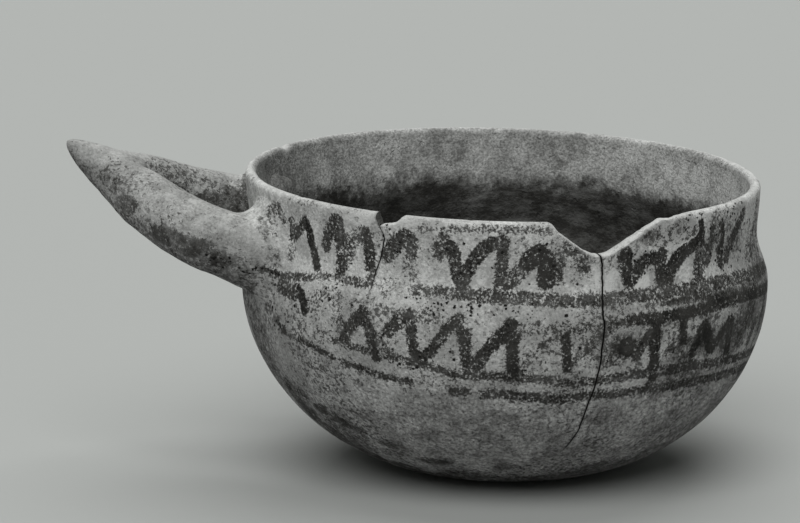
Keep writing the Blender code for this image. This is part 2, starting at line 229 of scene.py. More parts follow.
for name, power, width, tilt_front, tilt_left in LAMPS:
    lamp_data = bpy.data.lights.new(name, "SUN")
    lamp_data.energy = power
    lamp_data.angle = math.radians(width)
    lamp = in_scene(name, lamp_data)
    lamp.rotation_euler = (math.radians(tilt_front), math.radians(tilt_left), 0)

world = bpy.data.worlds.new("studio")
bpy.context.scene.world = world
world.use_nodes = True
background = world.node_tree.nodes["Background"]
background.inputs["Color"].default_value = PAPER_COLOUR
light_path = put(world.node_tree, "ShaderNodeLightPath").outputs
seen = light_path["Is Camera Ray"]
for other in ("Is Glossy Ray", "Is Transmission Ray"):
    seen = maths(world.node_tree, "MAXIMUM", seen, light_path[other])
strength = put(world.node_tree, "ShaderNodeMapRange", {"Value": seen, "To Min": FILL, "To Max": 1.0})
world.node_tree.links.new(strength.outputs["Result"], background.inputs["Strength"])

floor_mesh = bpy.data.meshes.new("floor")
floor_mesh.from_pydata([(-1, -1, 0), (1, -1, 0), (1, 1, 0), (-1, 1, 0)], [], [(0, 1, 2, 3)])
floor_mesh.transform(Matrix.Scale(FLOOR_REACH, 4))
floor = in_scene("floor", floor_mesh)
paper = bpy.data.materials.new("pale paper")
paper.use_nodes = True
to_camera = put(paper.node_tree, "ShaderNodeLightPath").outputs["Is Camera Ray"]
bounce = (FLOOR_BOUNCE, FLOOR_BOUNCE, FLOOR_BOUNCE, 1.0)
shown = put(paper.node_tree, "ShaderNodeMix", {0: to_camera, 6: bounce, 7: PAPER_COLOUR}, data_type="RGBA")
paper_shader = paper.node_tree.nodes["Principled BSDF"].inputs
for name, value in (("Base Color", shown.outputs[2]), ("Roughness", 0.95), ("Specular IOR Level", 0.2)):
    give(paper.node_tree, paper_shader[name], value)
floor_mesh.materials.append(paper)
floor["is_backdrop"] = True

bpy.context.scene.view_settings.view_transform = "Standard"

# %% [markdown]
# ## The section of the bowl
# The wall follows a rule, so it is drawn by one. From the flat it rests on, the wall swells to the belly,
# draws in to a shallow neck and flares a little at the lip. The whole bowl leans slightly towards the
# handle, and the rim isn't quite level, as on a pot that was built by hand and fired on its side. The same
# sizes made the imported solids, so the fine surface lies where the solid one was.

# %% Sizes and section of the wall
NECK_RADIUS = 78.4 * MM
RIM_RADIUS = NECK_RADIUS + 1.1 * MM
BELLY_RADIUS = NECK_RADIUS + 3.1 * MM
BASE_RADIUS = 25.0 * MM
RIM_HEIGHT = 91.2 * MM
NECK_HEIGHT = RIM_HEIGHT - 16.7 * MM
BELLY_HEIGHT = RIM_HEIGHT - 32.7 * MM
WALL_THICKNESS = 4.3 * MM
LIP_THICKNESS = 3.3 * MM
LIP_STATION = 2.0
THINNING_START = 1.4                # station where the wall begins to thin towards the lip
LOWER_FULLNESS = 0.565
LEAN = 0.0218
RIM_RISE_TO_HANDLE = 2.0 * MM
RIM_RISE_TO_BACK = 1.0 * MM


def ease(share):
    """Smooth step from 0 to 1, for a number or an array."""
    return 0.5 - 0.5 * np.cos(np.pi * np.clip(share, 0.0, 1.0))


def half_turn(angle):
    """The same angle in degrees, from -180 to 180."""
    return (angle + 180.0) % 360.0 - 180.0


def read_pairs(pairs, value):
    """Straight-line reading from a list of pairs, for a number or an array."""
    keys, readings = zip(*pairs)
    return np.interp(value, keys, readings)


def wall_radius(height):
    """Outside radius of the bowl at a height."""
    share = 1 - (1 - np.clip(height, 0.0, BELLY_HEIGHT) / BELLY_HEIGHT) ** 2
    lower = BASE_RADIUS + (BELLY_RADIUS - BASE_RADIUS) * share ** LOWER_FULLNESS
    to_neck = ease((height - BELLY_HEIGHT) / (NECK_HEIGHT - BELLY_HEIGHT))
    to_lip = ease((height - NECK_HEIGHT) / (RIM_HEIGHT - NECK_HEIGHT))
    return lower + (NECK_RADIUS - BELLY_RADIUS) * to_neck + (RIM_RADIUS - NECK_RADIUS) * to_lip


def lip_height(angle):
    """Height of the whole lip at an angle in degrees."""
    turn = np.radians(angle)
    return RIM_HEIGHT - RIM_RISE_TO_HANDLE * np.cos(turn) + RIM_RISE_TO_BACK * np.sin(turn)


def station_height(station):
    """Height of a station up to the belly. Station 0 is the edge of the flat, 1 the belly and 2 the lip."""
    return BELLY_HEIGHT * (1 - np.cos(0.5 * np.pi * np.clip(station, 0.0, 1.0)))


def thickness(station):
    """Thickness of the wall at a station, thinning towards the lip."""
    share = ease((station - THINNING_START) / (LIP_STATION - THINNING_START))
    return WALL_THICKNESS + (LIP_THICKNESS - WALL_THICKNESS) * share


SECTION_STEPS = 160
steps = np.linspace(0, 1, SECTION_STEPS)
section_heights = np.concatenate(
    [station_height(steps), BELLY_HEIGHT + steps[1:] * (RIM_HEIGHT - BELLY_HEIGHT)])
section_radii = wall_radius(section_heights)
section_lengths = BASE_RADIUS + np.concatenate(
    [[0.0], np.cumsum(np.hypot(np.diff(section_heights), np.diff(section_radii)))])
section_curve = bpy.data.curves.new("section", "CURVE")
section_curve.dimensions = "3D"
spline = section_curve.splines.new("POLY")
spline.points.add(len(section_heights))
spline.points[0].co = (0, 0, 0, 1)
for point, radius, height in zip(spline.points[1:], section_radii, section_heights):
    point.co = (radius, 0, height, 1)
section = in_scene("section", section_curve)
section.hide_render = True
print(f"section {section_lengths[-1] / MM:.1f} mm long, belly {2 * BELLY_RADIUS / MM:.0f} mm across")

# %% [markdown]
# ## Broken edges
# A fired wall breaks along clean, slightly wandering lines. Two cracks run down from the rim and meet low
# under the front: they mark off the sherd. Between them the lip has lost a long triangle, and the sherd's
# corner beside the left crack is chipped. Each line is a short list of given places. Angles run in
# degrees round the bowl, with -90 at the front and 180 at the handle, and stations run up the wall.

# %% Cracks and the broken lip
CRACK_FOOT = 0.34
LEFT_CRACK = ((CRACK_FOOT, -100), (0.42, -107), (0.5, -115), (0.6, -120.5), (0.75, -122.6), (0.93, -121.7),
              (1.07, -120.3), (1.14, -120.2), (1.24, -119.8), (1.33, -119.2), (1.41, -118.9),
              (1.53, -117.7), (1.7, -116.3), (1.79, -116.0), (1.92, -117.4), (2.0, -118.2))
RIGHT_CRACK = ((CRACK_FOOT, -84), (0.43, -78.2), (0.48, -76), (0.55, -73.7), (0.62, -72.3), (0.72, -71.4),
               (0.8, -70.4), (0.89, -69.4), (0.96, -69.2), (1.01, -68.8), (1.16, -69.0), (1.33, -68.5),
               (1.51, -68.2), (1.67, -68.6), (2.0, -68.5))
# Width of each crack at a station: open near the rim, closing to a hair below
LEFT_OPENING = ((CRACK_FOOT, 0.02), (0.95, 0.02), (1.15, 0.08), (1.35, 0.16), (1.8, 0.24), (2.0, 0.4))
RIGHT_OPENING = ((CRACK_FOOT, 0.02), (0.45, 0.08), (0.6, 0.24), (1.0, 0.32), (1.67, 0.34), (2.0, 0.36))
OPENINGS = {LEFT_CRACK: LEFT_OPENING, RIGHT_CRACK: RIGHT_OPENING}
# Depth of the break in the lip, in millimetres, at an angle
RIM_BREAK = ((-80.3, 0), (-79.3, 0.8), (-78, 2.9), (-76.2, 5.1), (-74.3, 7.0), (-72, 8.9), (-70, 10.1),
             (-68.4, 10.4), (-66.4, 10.2), (-64.6, 9.0), (-62, 6.8), (-58, 3.9), (-55, 1.7), (-53.4, 0.5),
             (-52, 0.9), (-50.4, 1.0), (-48.6, 0.5), (-46.5, 0.2), (-44, 0))
# Depth of the chip in the sherd's corner, in the same way
CORNER_CHIP = ((-118.4, 3.8), (-116.8, 3.4), (-115.2, 2.9), (-114.0, 2.4), (-112.9, 1.2), (-111.9, 0.2),
               (-111.2, 0))
# Small nicks in the lip: angle, half width in degrees, depth in millimetres
NICKS = ((153.6, 2.2, 0.8), (99, 1.6, 0.2), (-14, 1.6, 0.35), (-30.5, 1.2, 0.25), (-97, 1.0, 0.2),
         (63, 2.0, 0.22), (24, 1.3, 0.25), (-141, 1.2, 0.25))
DARK_OPENING = 0.2                  # width in millimetres from which a crack's faces are painted black as shade
FAR_FROM_CRACK = 6.0                # distance in millimetres that counts as far from a crack
TIGHT_AWAY = 1.2                    # millimetres added where a crack is too tight to look dark
NOTCH_START = 1.74                  # station above which a crack opens out into the broken lip
NOTCH_REACH = 0.08
NOTCH_OPEN = 0.112                  # millimetres added there
CRUMBLE = 0.12 * MM                 # unevenness of a broken edge
BROKEN_ROUNDING = 0.1               # rounding of a broken edge, as a share of the lip's thickness
CRACK_WAVER = 0.16                  # degrees that a crack strays from its line
CRUMBLE_RATES = (1.3, 2.9, 5.3)


def crumble(value, seed):
    """Irregular wave between -1 and 1 along a broken edge."""
    total = 0.0
    for index, rate in enumerate(CRUMBLE_RATES):
        total = total + np.sin(rate * value * 4.1 + seed * (index + 1)) / (index + 1.2)
    return total / 1.7


def rim_loss(angle, on_sherd):
    """Depth of the break below the whole lip at an array of angles."""
    turned = half_turn(angle)
    depth = read_pairs(RIM_BREAK, turned) * MM
    if on_sherd:
        depth = np.maximum(depth, read_pairs(CORNER_CHIP, turned) * MM)
    depth = np.maximum(depth + CRUMBLE * crumble(turned, 2.0) * (depth > 0), 0.0)
    for middle, half_width, nick_depth in NICKS:
        depth = np.maximum(depth, nick_depth * MM * (1 - np.abs(turned - middle) / half_width))
    return depth


def crack_angle(crack, place, side):
    """Angle of a crack's face at an array of stations, half its opening to one side of its line."""
    line = read_pairs(crack, place) + CRACK_WAVER * crumble(place * 6.0, 1.0)
    half = 0.5 * read_pairs(OPENINGS[crack], place) * MM
    return line + side * np.degrees(half / wall_radius(station_height(place)))


# %% [markdown]
# ## Rolling the wall up with Geometry Nodes
# The wall is drawn as a flat sheet first: across it runs the angle, and up it the way along the section.
# Each point carries four numbers, which are its turn round the bowl, its place along the section, its
# depth inside the outer face, and its lift for the tilted rim. The node tree reads the section there,
# steps inwards, turns the point round the bowl, leans it, and adds the gentle unevenness of a wall that
# was pinched and scraped by hand. Because the tree does the shaping, one number makes the pot smoother.

# %% The tree that turns a sheet into a wall
STEADY_FOOT = 6 * MM                # height from which the unevenness is full, so the flat stays flat
SAME_POINT = 0.002 * MM             # points closer than this become one


def point_number(tree, name):
    """A number that the mesh carries for each point."""
    return put(tree, "GeometryNodeInputNamedAttribute", {"Name": name}, data_type="FLOAT").outputs[0]


def hand_marks(tree, given, place, dent_detail):
    """Two pushes along the normal, the first for dents and the second for scrapes."""
    for amount, rate, detail in (("Unevenness", "Dents per metre", dent_detail),
                                 ("Scraping", "Scrapes per metre", 2.0)):
        texture = put(tree, "ShaderNodeTexNoise", {"Vector": place, "W": given["Seed"], "Scale": given[rate],
                                                   "Detail": detail}, noise_dimensions="4D")
        yield maths(tree, "MULTIPLY_ADD", texture.outputs[0], 2.0, -1.0) * given[amount]


def coated(tree, shape, material):
    """The shape with its instances made real and its material set."""
    real = put(tree, "GeometryNodeRealizeInstances", {"Geometry": shape}).outputs[0]
    return put(tree, "GeometryNodeSetMaterial", {"Geometry": real, "Material": material}).outputs[0]


def turned_wall_tree():
    """Geometry Nodes tree that rolls a flat sheet up along the section."""
    tree, given, result = new_group(
        "turned wall", "GeometryNodeTree",
        {"Sheet": "Geometry", "Section": "Object", "Lean": LEAN, "Unevenness": 0.35 * MM,
         "Dents per metre": 38.0, "Scraping": 0.09 * MM, "Scrapes per metre": 260.0, "Seed": 3.0,
         "Clay": "Material"}, {"Wall": "Geometry"})
    read = put(tree, "GeometryNodeObjectInfo", {"Object": given["Section"]}).outputs["Geometry"]
    sample = put(tree, "GeometryNodeSampleCurve", {"Curves": read, "Factor": point_number(tree, "along")},
                 mode="FACTOR", use_all_curves=True).outputs
    outward = vector_maths(tree, "CROSS_PRODUCT", (0.0, 1.0, 0.0), sample["Tangent"])
    outward = vector_maths(tree, "NORMALIZE", outward)
    stepped = vector_maths(tree, "SUBTRACT", sample["Position"],
                           vector_maths(tree, "SCALE", outward, point_number(tree, "depth")))
    turn = point_number(tree, "turn")
    turned, facing = [put(tree, "ShaderNodeVectorRotate", {"Vector": flat, "Angle": turn},
                          rotation_type="Z_AXIS").outputs[0] for flat in (stepped, outward)]
    height = Value(tree, put(tree, "ShaderNodeSeparateXYZ", {0: turned}).outputs["Z"])
    steady = height.ramp(0.0, STEADY_FOOT)
    moved = turned
    for push in hand_marks(tree, given, turned, 1.0):
        moved = vector_maths(tree, "ADD", moved, vector_maths(tree, "SCALE", facing, push * steady))
    set_over = given["Lean"] * height * -1.0
    shift = put(tree, "ShaderNodeCombineXYZ", {"X": set_over, "Z": point_number(tree, "lift")}).outputs[0]
    placed = put(tree, "GeometryNodeSetPosition",
                 {"Geometry": given["Sheet"], "Position": vector_maths(tree, "ADD", moved, shift)})
    closed = put(tree, "GeometryNodeMergeByDistance", {"Geometry": placed.outputs[0], "Distance": SAME_POINT})
    give(tree, result["Wall"], coated(tree, closed.outputs[0], given["Clay"]))
    return tree


def settle(piece):
    """Keeps what the piece's modifiers make of it as a plain mesh."""
    bpy.context.view_layer.update()
    evaluated = piece.evaluated_get(bpy.context.evaluated_depsgraph_get())
    shaped = bpy.data.meshes.new_from_object(evaluated)
    piece.modifiers.clear()
    piece.data = shaped
    shaped.name = piece.name


def apply_tree(piece, tree, values):
    """Runs a tree on a piece with the given inputs."""
    modifier = piece.modifiers.new(tree.name, "NODES")
    modifier.node_group = tree
    for item in tree.interface.items_tree:
        if item.in_out == "INPUT" and item.name in values:
            modifier[item.identifier] = values[item.name]
    settle(piece)


wall_tree = turned_wall_tree()
print("inputs of the wall's tree:", ", ".join(item.name for item in wall_tree.interface.items_tree
                                              if item.in_out == "INPUT"))


# %% [markdown]
# ## The painted pattern
# The painter drew four lines round the bowl and filled the two bands between them with hasty zigzags, then
# ran a thin line under the lip. Such strokes aren't a repeat that a texture could tile, so each is a short
# path with half its width in millimetres and how well it has lasted. The strokes of the front are given by
# the places where the photograph shows them, and the sight line through each place is followed to the wall.
# Nothing is seen of the back, so there the zigzags go on in the same hand, by angle and height.

# %% Strokes of the front
PAINT_SCALE = 80.0 * MM             # radius at which an angle is read as a width
NO_PAINT = 6.0                      # distance in millimetres kept where no stroke is near
STROKE_REACH = 10                   # millimetres beside a stroke within which it is looked at
USUAL_LASTING = 0.7                 # how well paint has lasted, kept where no stroke is near
SIGHT_START = CAMERA_DISTANCE - 150 * MM    # how far along a sight line the search for the wall begins
SIGHT_STEPS = 120
# Half width, lasting, and places in the photograph, in its pixels
BAND_LINES = (
    (1.1, 0.85, ((255, 268), (265, 270), (275, 273.5), (287, 276), (303, 277), (313, 278))),
    (1.0, 0.82, ((319, 276.5), (330, 276.8), (338, 277.5))),
    (1.3, 0.8, ((344, 280.5), (356, 281.8), (370, 284))),
    (1.2, 0.42, ((375, 281.5), (383, 284), (397, 283.5))),
    (1.6, 0.76, ((416, 290), (427, 291), (441, 291.3), (460, 293))),
    (1.9, 0.8, ((460, 293), (479, 295.5), (498, 297.5), (518, 298), (543, 300), (568, 301.3), (587, 301),
                 (605, 299.3), (624, 298), (640, 296), (662, 293), (690, 289), (712, 285), (735, 279),
                 (752, 274))),
    (0.8, 0.8, ((662, 301), (690, 298.5), (715, 295.5), (738, 291.5))),
    (1.7, 0.62, ((418, 316.5), (428, 317.5), (437, 318))),
    (1.5, 0.35, ((462, 324), (475, 325), (490, 326))),
    (1.3, 0.62, ((519, 328), (545, 328), (570, 328.5), (596, 327))),
    (1.3, 0.72, ((606, 326.5), (618, 324), (630, 321.5))),
    (1.8, 0.93, ((630, 320), (650, 318.8), (670, 316), (700, 309.5), (722, 303.5), (745, 295))),
    (1.1, 0.9, ((299, 338.5), (312, 346), (324.5, 352.5), (333, 357.5))),
    (1.0, 0.62, ((316, 331), (330, 338))),
    (1.2, 0.82, ((333, 340), (349.5, 345.5), (368, 351.5), (375, 355))),
    (1.2, 0.76, ((387, 355), (397, 357.5), (409.5, 361.5), (422, 364.5))),
    (1.3, 0.82, ((422, 364.5), (444, 372), (462.5, 375.5), (487.5, 376.5), (512.5, 377), (537.5, 379.5),
                 (550, 381))),
    (1.4, 0.78, ((550, 381.5), (570, 383.3), (592, 381.5), (613, 379), (632, 375.3))),
    (1.6, 0.86, ((632, 375), (655, 371.5), (687, 366.5), (712, 362.8), (737, 357.5), (750, 351.5))),
    (1.1, 0.86, ((341, 361.3), (356, 366.5), (368.5, 371.3), (381, 376), (397, 379), (412, 382.5))),
    (1.5, 0.84, ((452, 391.3), (467, 392))),
    (1.5, 0.82, ((482, 394.3), (500, 394), (525, 397), (560, 399), (600, 395), (625, 393.3), (650, 388.8),
                 (675, 385), (700, 380), (725, 374.5), (740, 368))),
    (0.9, 0.66, ((420, 228.5), (437, 228.5), (450, 229.5), (470, 229), (490, 228), (510, 229.3),
                 (528, 229.5), (540, 230.3), (553, 231.5))),
)
UPPER_ZIGZAG = (
    (2.1, 0.68, ((270.8, 220), (269.5, 213.5), (274, 209))),
    (1.8, 0.72, ((278.3, 207.5), (281, 213), (282.8, 219))),
    (2.6, 0.46, ((272.5, 224), (275, 233))),
    (1.7, 0.78, ((292, 222), (292.5, 228.5))),
    (1.7, 0.96, ((305.3, 221.3), (309, 231.3), (312.3, 245), (315.3, 257.5), (317.2, 267))),
    (1.6, 0.9, ((305, 222), (300.8, 228), (295.8, 234), (292.3, 238.5))),
    (1.5, 0.62, ((292.3, 239), (291.4, 246), (291, 256))),
    (1.8, 0.86, ((336.5, 219.5), (332, 223.5), (327.5, 233), (326, 247))),
    (2.4, 0.86, ((336.5, 221), (338.5, 232), (341, 247), (343.5, 259), (341.5, 268.5))),
    (2.0, 0.78, ((345, 263), (350.8, 246), (356.8, 236), (364, 232.3))),
    (1.9, 0.9, ((365.5, 232.5), (368.3, 242.5), (369.8, 255), (370.3, 268))),
    (1.5, 0.76, ((370.3, 268), (371, 281))),
    (2.4, 0.88, ((388, 254.5), (392.8, 248), (398.8, 240))),
    (2.0, 0.9, ((398.8, 239), (405, 235), (411, 238))),
    (1.9, 0.82, ((411.5, 239), (411.6, 250), (409.5, 260))),
    (2.0, 0.58, ((409.5, 261), (410.8, 270), (416, 279.5))),
    (1.8, 0.42, ((428, 247), (430, 262))),
    (2.3, 0.76, ((438.8, 254), (439.5, 246.5), (445, 240.5))),
    (2.1, 0.88, ((445, 240.5), (453, 250.5), (456.3, 266), (459, 280), (461.3, 289))),
    (2.2, 0.9, ((461.3, 283), (470.5, 266.5), (478, 254.5), (486.5, 247), (494, 243.5))),
    (1.7, 0.82, ((494, 243.5), (503, 240.8))),
    (2.0, 0.86, ((503, 241.5), (502.5, 252.5), (501.5, 267.5), (501, 280), (500.5, 291))),
    (2.3, 0.8, ((503, 285), (511, 281), (518.5, 273.5))),
    (2.6, 0.95, ((527, 263.5), (532.5, 256), (540, 252))),
    (2.9, 0.97, ((540, 252.5), (546, 261), (547, 272), (546, 280.5))),
    (1.8, 0.76, ((556, 279), (558.8, 267.5), (561.3, 257.5), (565, 250.5), (570, 245.3))),
    (2.2, 0.76, ((570, 246), (577.5, 253.5), (582.5, 261.3), (585, 269))),
    (2.5, 0.28, ((580, 279), (592, 286))),
    (1.8, 0.42, ((605, 259), (612, 263))),
    (2.3, 0.94, ((625.6, 253.5), (625, 260), (627, 270), (629.5, 281))),
    (2.2, 0.93, ((630, 281), (636.3, 272), (641.3, 264.5), (648.8, 257.8))),
    (2.3, 0.95, ((649, 258.5), (660, 257.5))),
    (1.7, 0.92, ((663, 244.5), (662, 252.5))),
    (2.2, 0.92, ((661.5, 253), (660, 265), (661.3, 275), (662.5, 282.5))),
    (2.6, 0.96, ((666, 279), (673, 264.5), (681.3, 253), (690, 246), (698.8, 240.5))),
    (1.8, 0.95, ((700.8, 223.5), (701.3, 233.8), (700.3, 247))),
    (2.3, 0.82, ((700.3, 247), (699, 261.3), (700, 277))),
    (1.9, 0.88, ((706.5, 261), (710, 246.3), (712.5, 236.3), (715, 222))),
    (2.0, 0.9, ((720, 223.5), (721.9, 235), (720, 250), (721.3, 263))),
    (2.8, 0.55, ((716.5, 219), (718, 240))),
    (1.9, 0.87, ((726.3, 259), (728.8, 246.3), (733.8, 233.8), (738.8, 222.5), (742.5, 213.5))),
    (1.6, 0.6, ((746.3, 255), (747.5, 242.5), (749, 228))),
)
LOWER_ZIGZAG = (
    (2.1, 0.84, ((281, 285.5), (288, 290), (295, 293.5))),
    (1.6, 0.98, ((296, 287.5), (301.5, 295), (304, 305), (304.5, 311.5))),
    (1.8, 0.6, ((312, 305), (319.5, 294.5), (329, 291.5), (335.5, 295.5), (336, 305))),
    (1.7, 0.52, ((321, 304), (317, 315))),
    (1.6, 0.66, ((337, 317.5), (341, 328))),
    (2.0, 0.92, ((343.5, 339.5), (349.5, 327.5), (358.3, 318), (362, 313.5))),
    (1.7, 0.88, ((364, 314.5), (368.3, 327.5), (370.5, 338))),
    (1.8, 0.95, ((370.5, 338), (374.5, 352.5), (376, 357))),
    (1.2, 0.58, ((351, 304.5), (358, 302.8), (364, 306))),
    (1.8, 0.66, ((380, 337), (384, 347))),
    (2.0, 0.88, ((388.5, 332), (394.5, 325.5), (403.3, 317.5), (408.5, 315.3))),
    (1.8, 0.88, ((409, 316.5), (411, 327.5), (412, 340), (414.5, 352.5), (417, 360.5))),
    (1.7, 0.9, ((420, 360), (431.3, 350), (440, 339), (448.8, 327), (456.3, 319.3))),
    (1.9, 0.88, ((459.5, 319.5), (463.8, 331.3), (465, 343.8), (466.3, 360), (469.5, 371.5))),
    (2.1, 0.93, ((477.5, 364.5), (485, 352.5), (495, 341.5), (506.3, 331.5))),
    (2.4, 0.98, ((511, 325.5), (512, 337.5))),
    (1.9, 0.97, ((512, 337.5), (512.3, 352), (513, 374))),
    (1.4, 0.62, ((527.5, 360), (540, 349), (551.3, 339.5), (562.5, 333))),
    (1.3, 0.8, ((538, 350), (546, 343.5))),
    (1.5, 0.94, ((565.3, 334.5), (566.3, 345), (566.9, 357.5), (567.5, 369))),
    (1.4, 0.7, ((576, 360.5), (584, 353.8), (591.3, 344), (598.8, 336))),
    (2.2, 0.6, ((607, 333), (609, 347), (612, 360))),
    (3.1, 0.94, ((625.3, 348.3), (628, 347))),
    (1.6, 0.88, ((637, 357), (642.5, 345), (650, 334), (655, 327))),
    (2.0, 0.96, ((656.3, 325), (655, 340), (654.4, 355), (653.8, 370), (652.5, 376.5))),
    (1.4, 0.72, ((667, 353), (674, 344), (680, 337))),
    (1.6, 0.93, ((683.8, 322.5), (683.1, 341))),
    (1.5, 0.9, ((690.5, 359), (695, 345), (701.3, 329))),
    (2.2, 0.96, ((704.8, 325.5), (707.5, 335), (710, 346.5))),
    (1.6, 0.93, ((711.3, 349.5), (720, 335), (731, 319))),
    (1.8, 0.92, ((732, 321), (728.8, 335), (726.5, 351))),
    (1.7, 0.74, ((736.3, 342), (743.8, 328))),
    (1.7, 0.84, ((747.5, 341.5), (751.5, 331), (755, 322.5))),
)
# Lines that run on round the sides: half width, lasting, and angle with height in millimetres
LINE_ENDS = (
    (1.1, 0.85, ((-178, 66), (-170, 66), (-161, 66))),
    (1.9, 0.8, ((-20.5, 65), (-8, 64), (0, 63.5))),
    (0.8, 0.8, ((-29.5, 62), (-20, 61.5))),
    (1.8, 0.93, ((-26.5, 60), (-15, 58.5), (0, 57))),
    (1.6, 0.86, ((-16.5, 39.5), (0, 38.5))),
    (1.5, 0.82, ((-20.5, 35.5), (-10, 33.5), (0, 32.5))),
)
BACK_START = -17.0                  # degrees at which the unseen back begins
BACK_END = 149.0
# Lines round the back: half width, lasting, height and how far they waver. Then the lowest and highest
# points of the two bands of zigzags. Lengths are in millimetres.
BACK_LINES = ((1.7, 0.72, 64.5, 1.4), (1.6, 0.8, 58.8, 1.1), (1.3, 0.72, 40.5, 1.6), (1.4, 0.75, 35.2, 1.3))
BACK_ZIGZAGS = ((70.5, 85.0), (43.5, 56.5))
BACK_LINE_ENDS = (-2, 184)          # degrees
BACK_LINE_PLACES = 24
# Ranges that chance picks from: millimetres off the even points, degrees for each part of a zigzag
LOW_STRAY = (-1.2, 1.2)
HIGH_STRAY = (-1.8, 1.2)
WAY_UP = (3.2, 5.4)
WAY_DOWN = (1.8, 4.4)
WAY_BETWEEN_STROKES = (0.5, 2.0)
BACK_HALF_WIDTHS = (1.4, 2.3)
BACK_LASTING = (0.6, 0.92)
NEW_STROKE = 0.28                   # share of the high points where the painter lifted the brush


def off_wall(places):
    """How far outside the wall's even outer face places lie."""
    return np.hypot(places[:, 0] + LEAN * places[:, 2], places[:, 1]) - wall_radius(places[:, 2])


def carried_to_wall(places):
    """Angle and height on the wall behind places, seen as in the photograph, and which miss it."""
    eye = np.array(camera.location)
    sight = (places - eye) / np.linalg.norm(places - eye, axis=1)[:, None]
    reached = places.copy()
    for step in range(SIGHT_STEPS):
        reached += sight * np.clip(off_wall(reached), 0.0, None)[:, None]
    angle = np.degrees(np.arctan2(reached[:, 1], reached[:, 0] + LEAN * reached[:, 2]))
    return angle, reached[:, 2] / MM, off_wall(reached) > 0.5 * MM


def seen_on_wall(pixels):
    """Angle and height of the places on the wall that show at these pixels of the photograph."""
    right = direction.cross(Vector((0, 0, 1))).normalized()
    up = right.cross(direction)
    starts = []
    for x, y in pixels:
        sight = (direction + right * (x - PICTURE_WIDTH / 2) / focal_pixels
                 + up * (PICTURE_HEIGHT / 2 - y) / focal_pixels)
        starts.append(camera.location + sight.normalized() * SIGHT_START)
    angle, height, missed = carried_to_wall(np.array(starts))
    if missed.any():
        print("these places miss the wall:", [pixels[index] for index in np.flatnonzero(missed)])
    return list(zip(angle, height))


def back_strokes():
    """The same lines and zigzags round the back, each stroke a little off its even place."""
    chance = random.Random(11)
    strokes = []
    for half_width, lasting, height, wave in BACK_LINES:
        places = np.linspace(*BACK_LINE_ENDS, BACK_LINE_PLACES)
        path = [(angle, height + wave * math.sin(angle * 0.045 + height)) for angle in places]
        strokes.append((half_width, lasting, path))
    for low, high in BACK_ZIGZAGS:
        angle = BACK_START
        path = []
        while angle < BACK_END:
            path.append((angle, low + chance.uniform(*LOW_STRAY)))
            angle += chance.uniform(*WAY_UP)
            path.append((angle, high + chance.uniform(*HIGH_STRAY)))
            if chance.random() < NEW_STROKE:
                strokes.append((chance.uniform(*BACK_HALF_WIDTHS), chance.uniform(*BACK_LASTING), path))
                path = []
                angle += chance.uniform(*WAY_BETWEEN_STROKES)
            angle += chance.uniform(*WAY_DOWN)
        if len(path) > 1:
            strokes.append((1.8, 0.8, path))
    return strokes


all_strokes = [(half_width, lasting, seen_on_wall(pixels))
               for half_width, lasting, pixels in BAND_LINES + UPPER_ZIGZAG + LOWER_ZIGZAG]
all_strokes += list(LINE_ENDS) + back_strokes()
print(len(all_strokes), "brush strokes")

# %% [markdown]
# ## Paint as a distance
# For each point of the outer face, the distance to the nearest stroke's edge is kept, negative inside the
# paint. A distance stays smooth between the points of a mesh, so the material can cut a crisp and ragged
# edge from it at any size. A second number keeps how well that stroke has lasted.

# %% Distance to the nearest stroke
def paint_fields(angle, height):
    """Signed distance to the paint in millimetres, and how well it has lasted, for arrays of points."""
    across = np.radians(angle) * PAINT_SCALE / MM
    best = np.full(angle.shape, NO_PAINT)
    lasting = np.full(angle.shape, USUAL_LASTING)
    for half_width, kept, path in all_strokes:
        xs = np.radians([place[0] for place in path]) * PAINT_SCALE / MM
        zs = np.array([place[1] for place in path], float)
        near = ((across > xs.min() - STROKE_REACH) & (across < xs.max() + STROKE_REACH)
                & (height > zs.min() - STROKE_REACH) & (height < zs.max() + STROKE_REACH))
        if not near.any():
            continue
        x, z = across[near], height[near]
        distance = np.full(x.shape, np.inf)
        for x0, z0, x1, z1 in zip(xs, zs, xs[1:], zs[1:]):
            length = (x1 - x0) ** 2 + (z1 - z0) ** 2
            share = np.clip(((x - x0) * (x1 - x0) + (z - z0) * (z1 - z0)) / max(length, 1e-9), 0, 1)
            aside = np.hypot(x - x0 - share * (x1 - x0), z - z0 - share * (z1 - z0))
            distance = np.minimum(distance, aside)
        distance -= half_width
        closer = distance < best[near]
        chosen = np.flatnonzero(near)[closer]
        best.flat[chosen] = distance[closer]
        lasting.flat[chosen] = kept
    return best, lasting
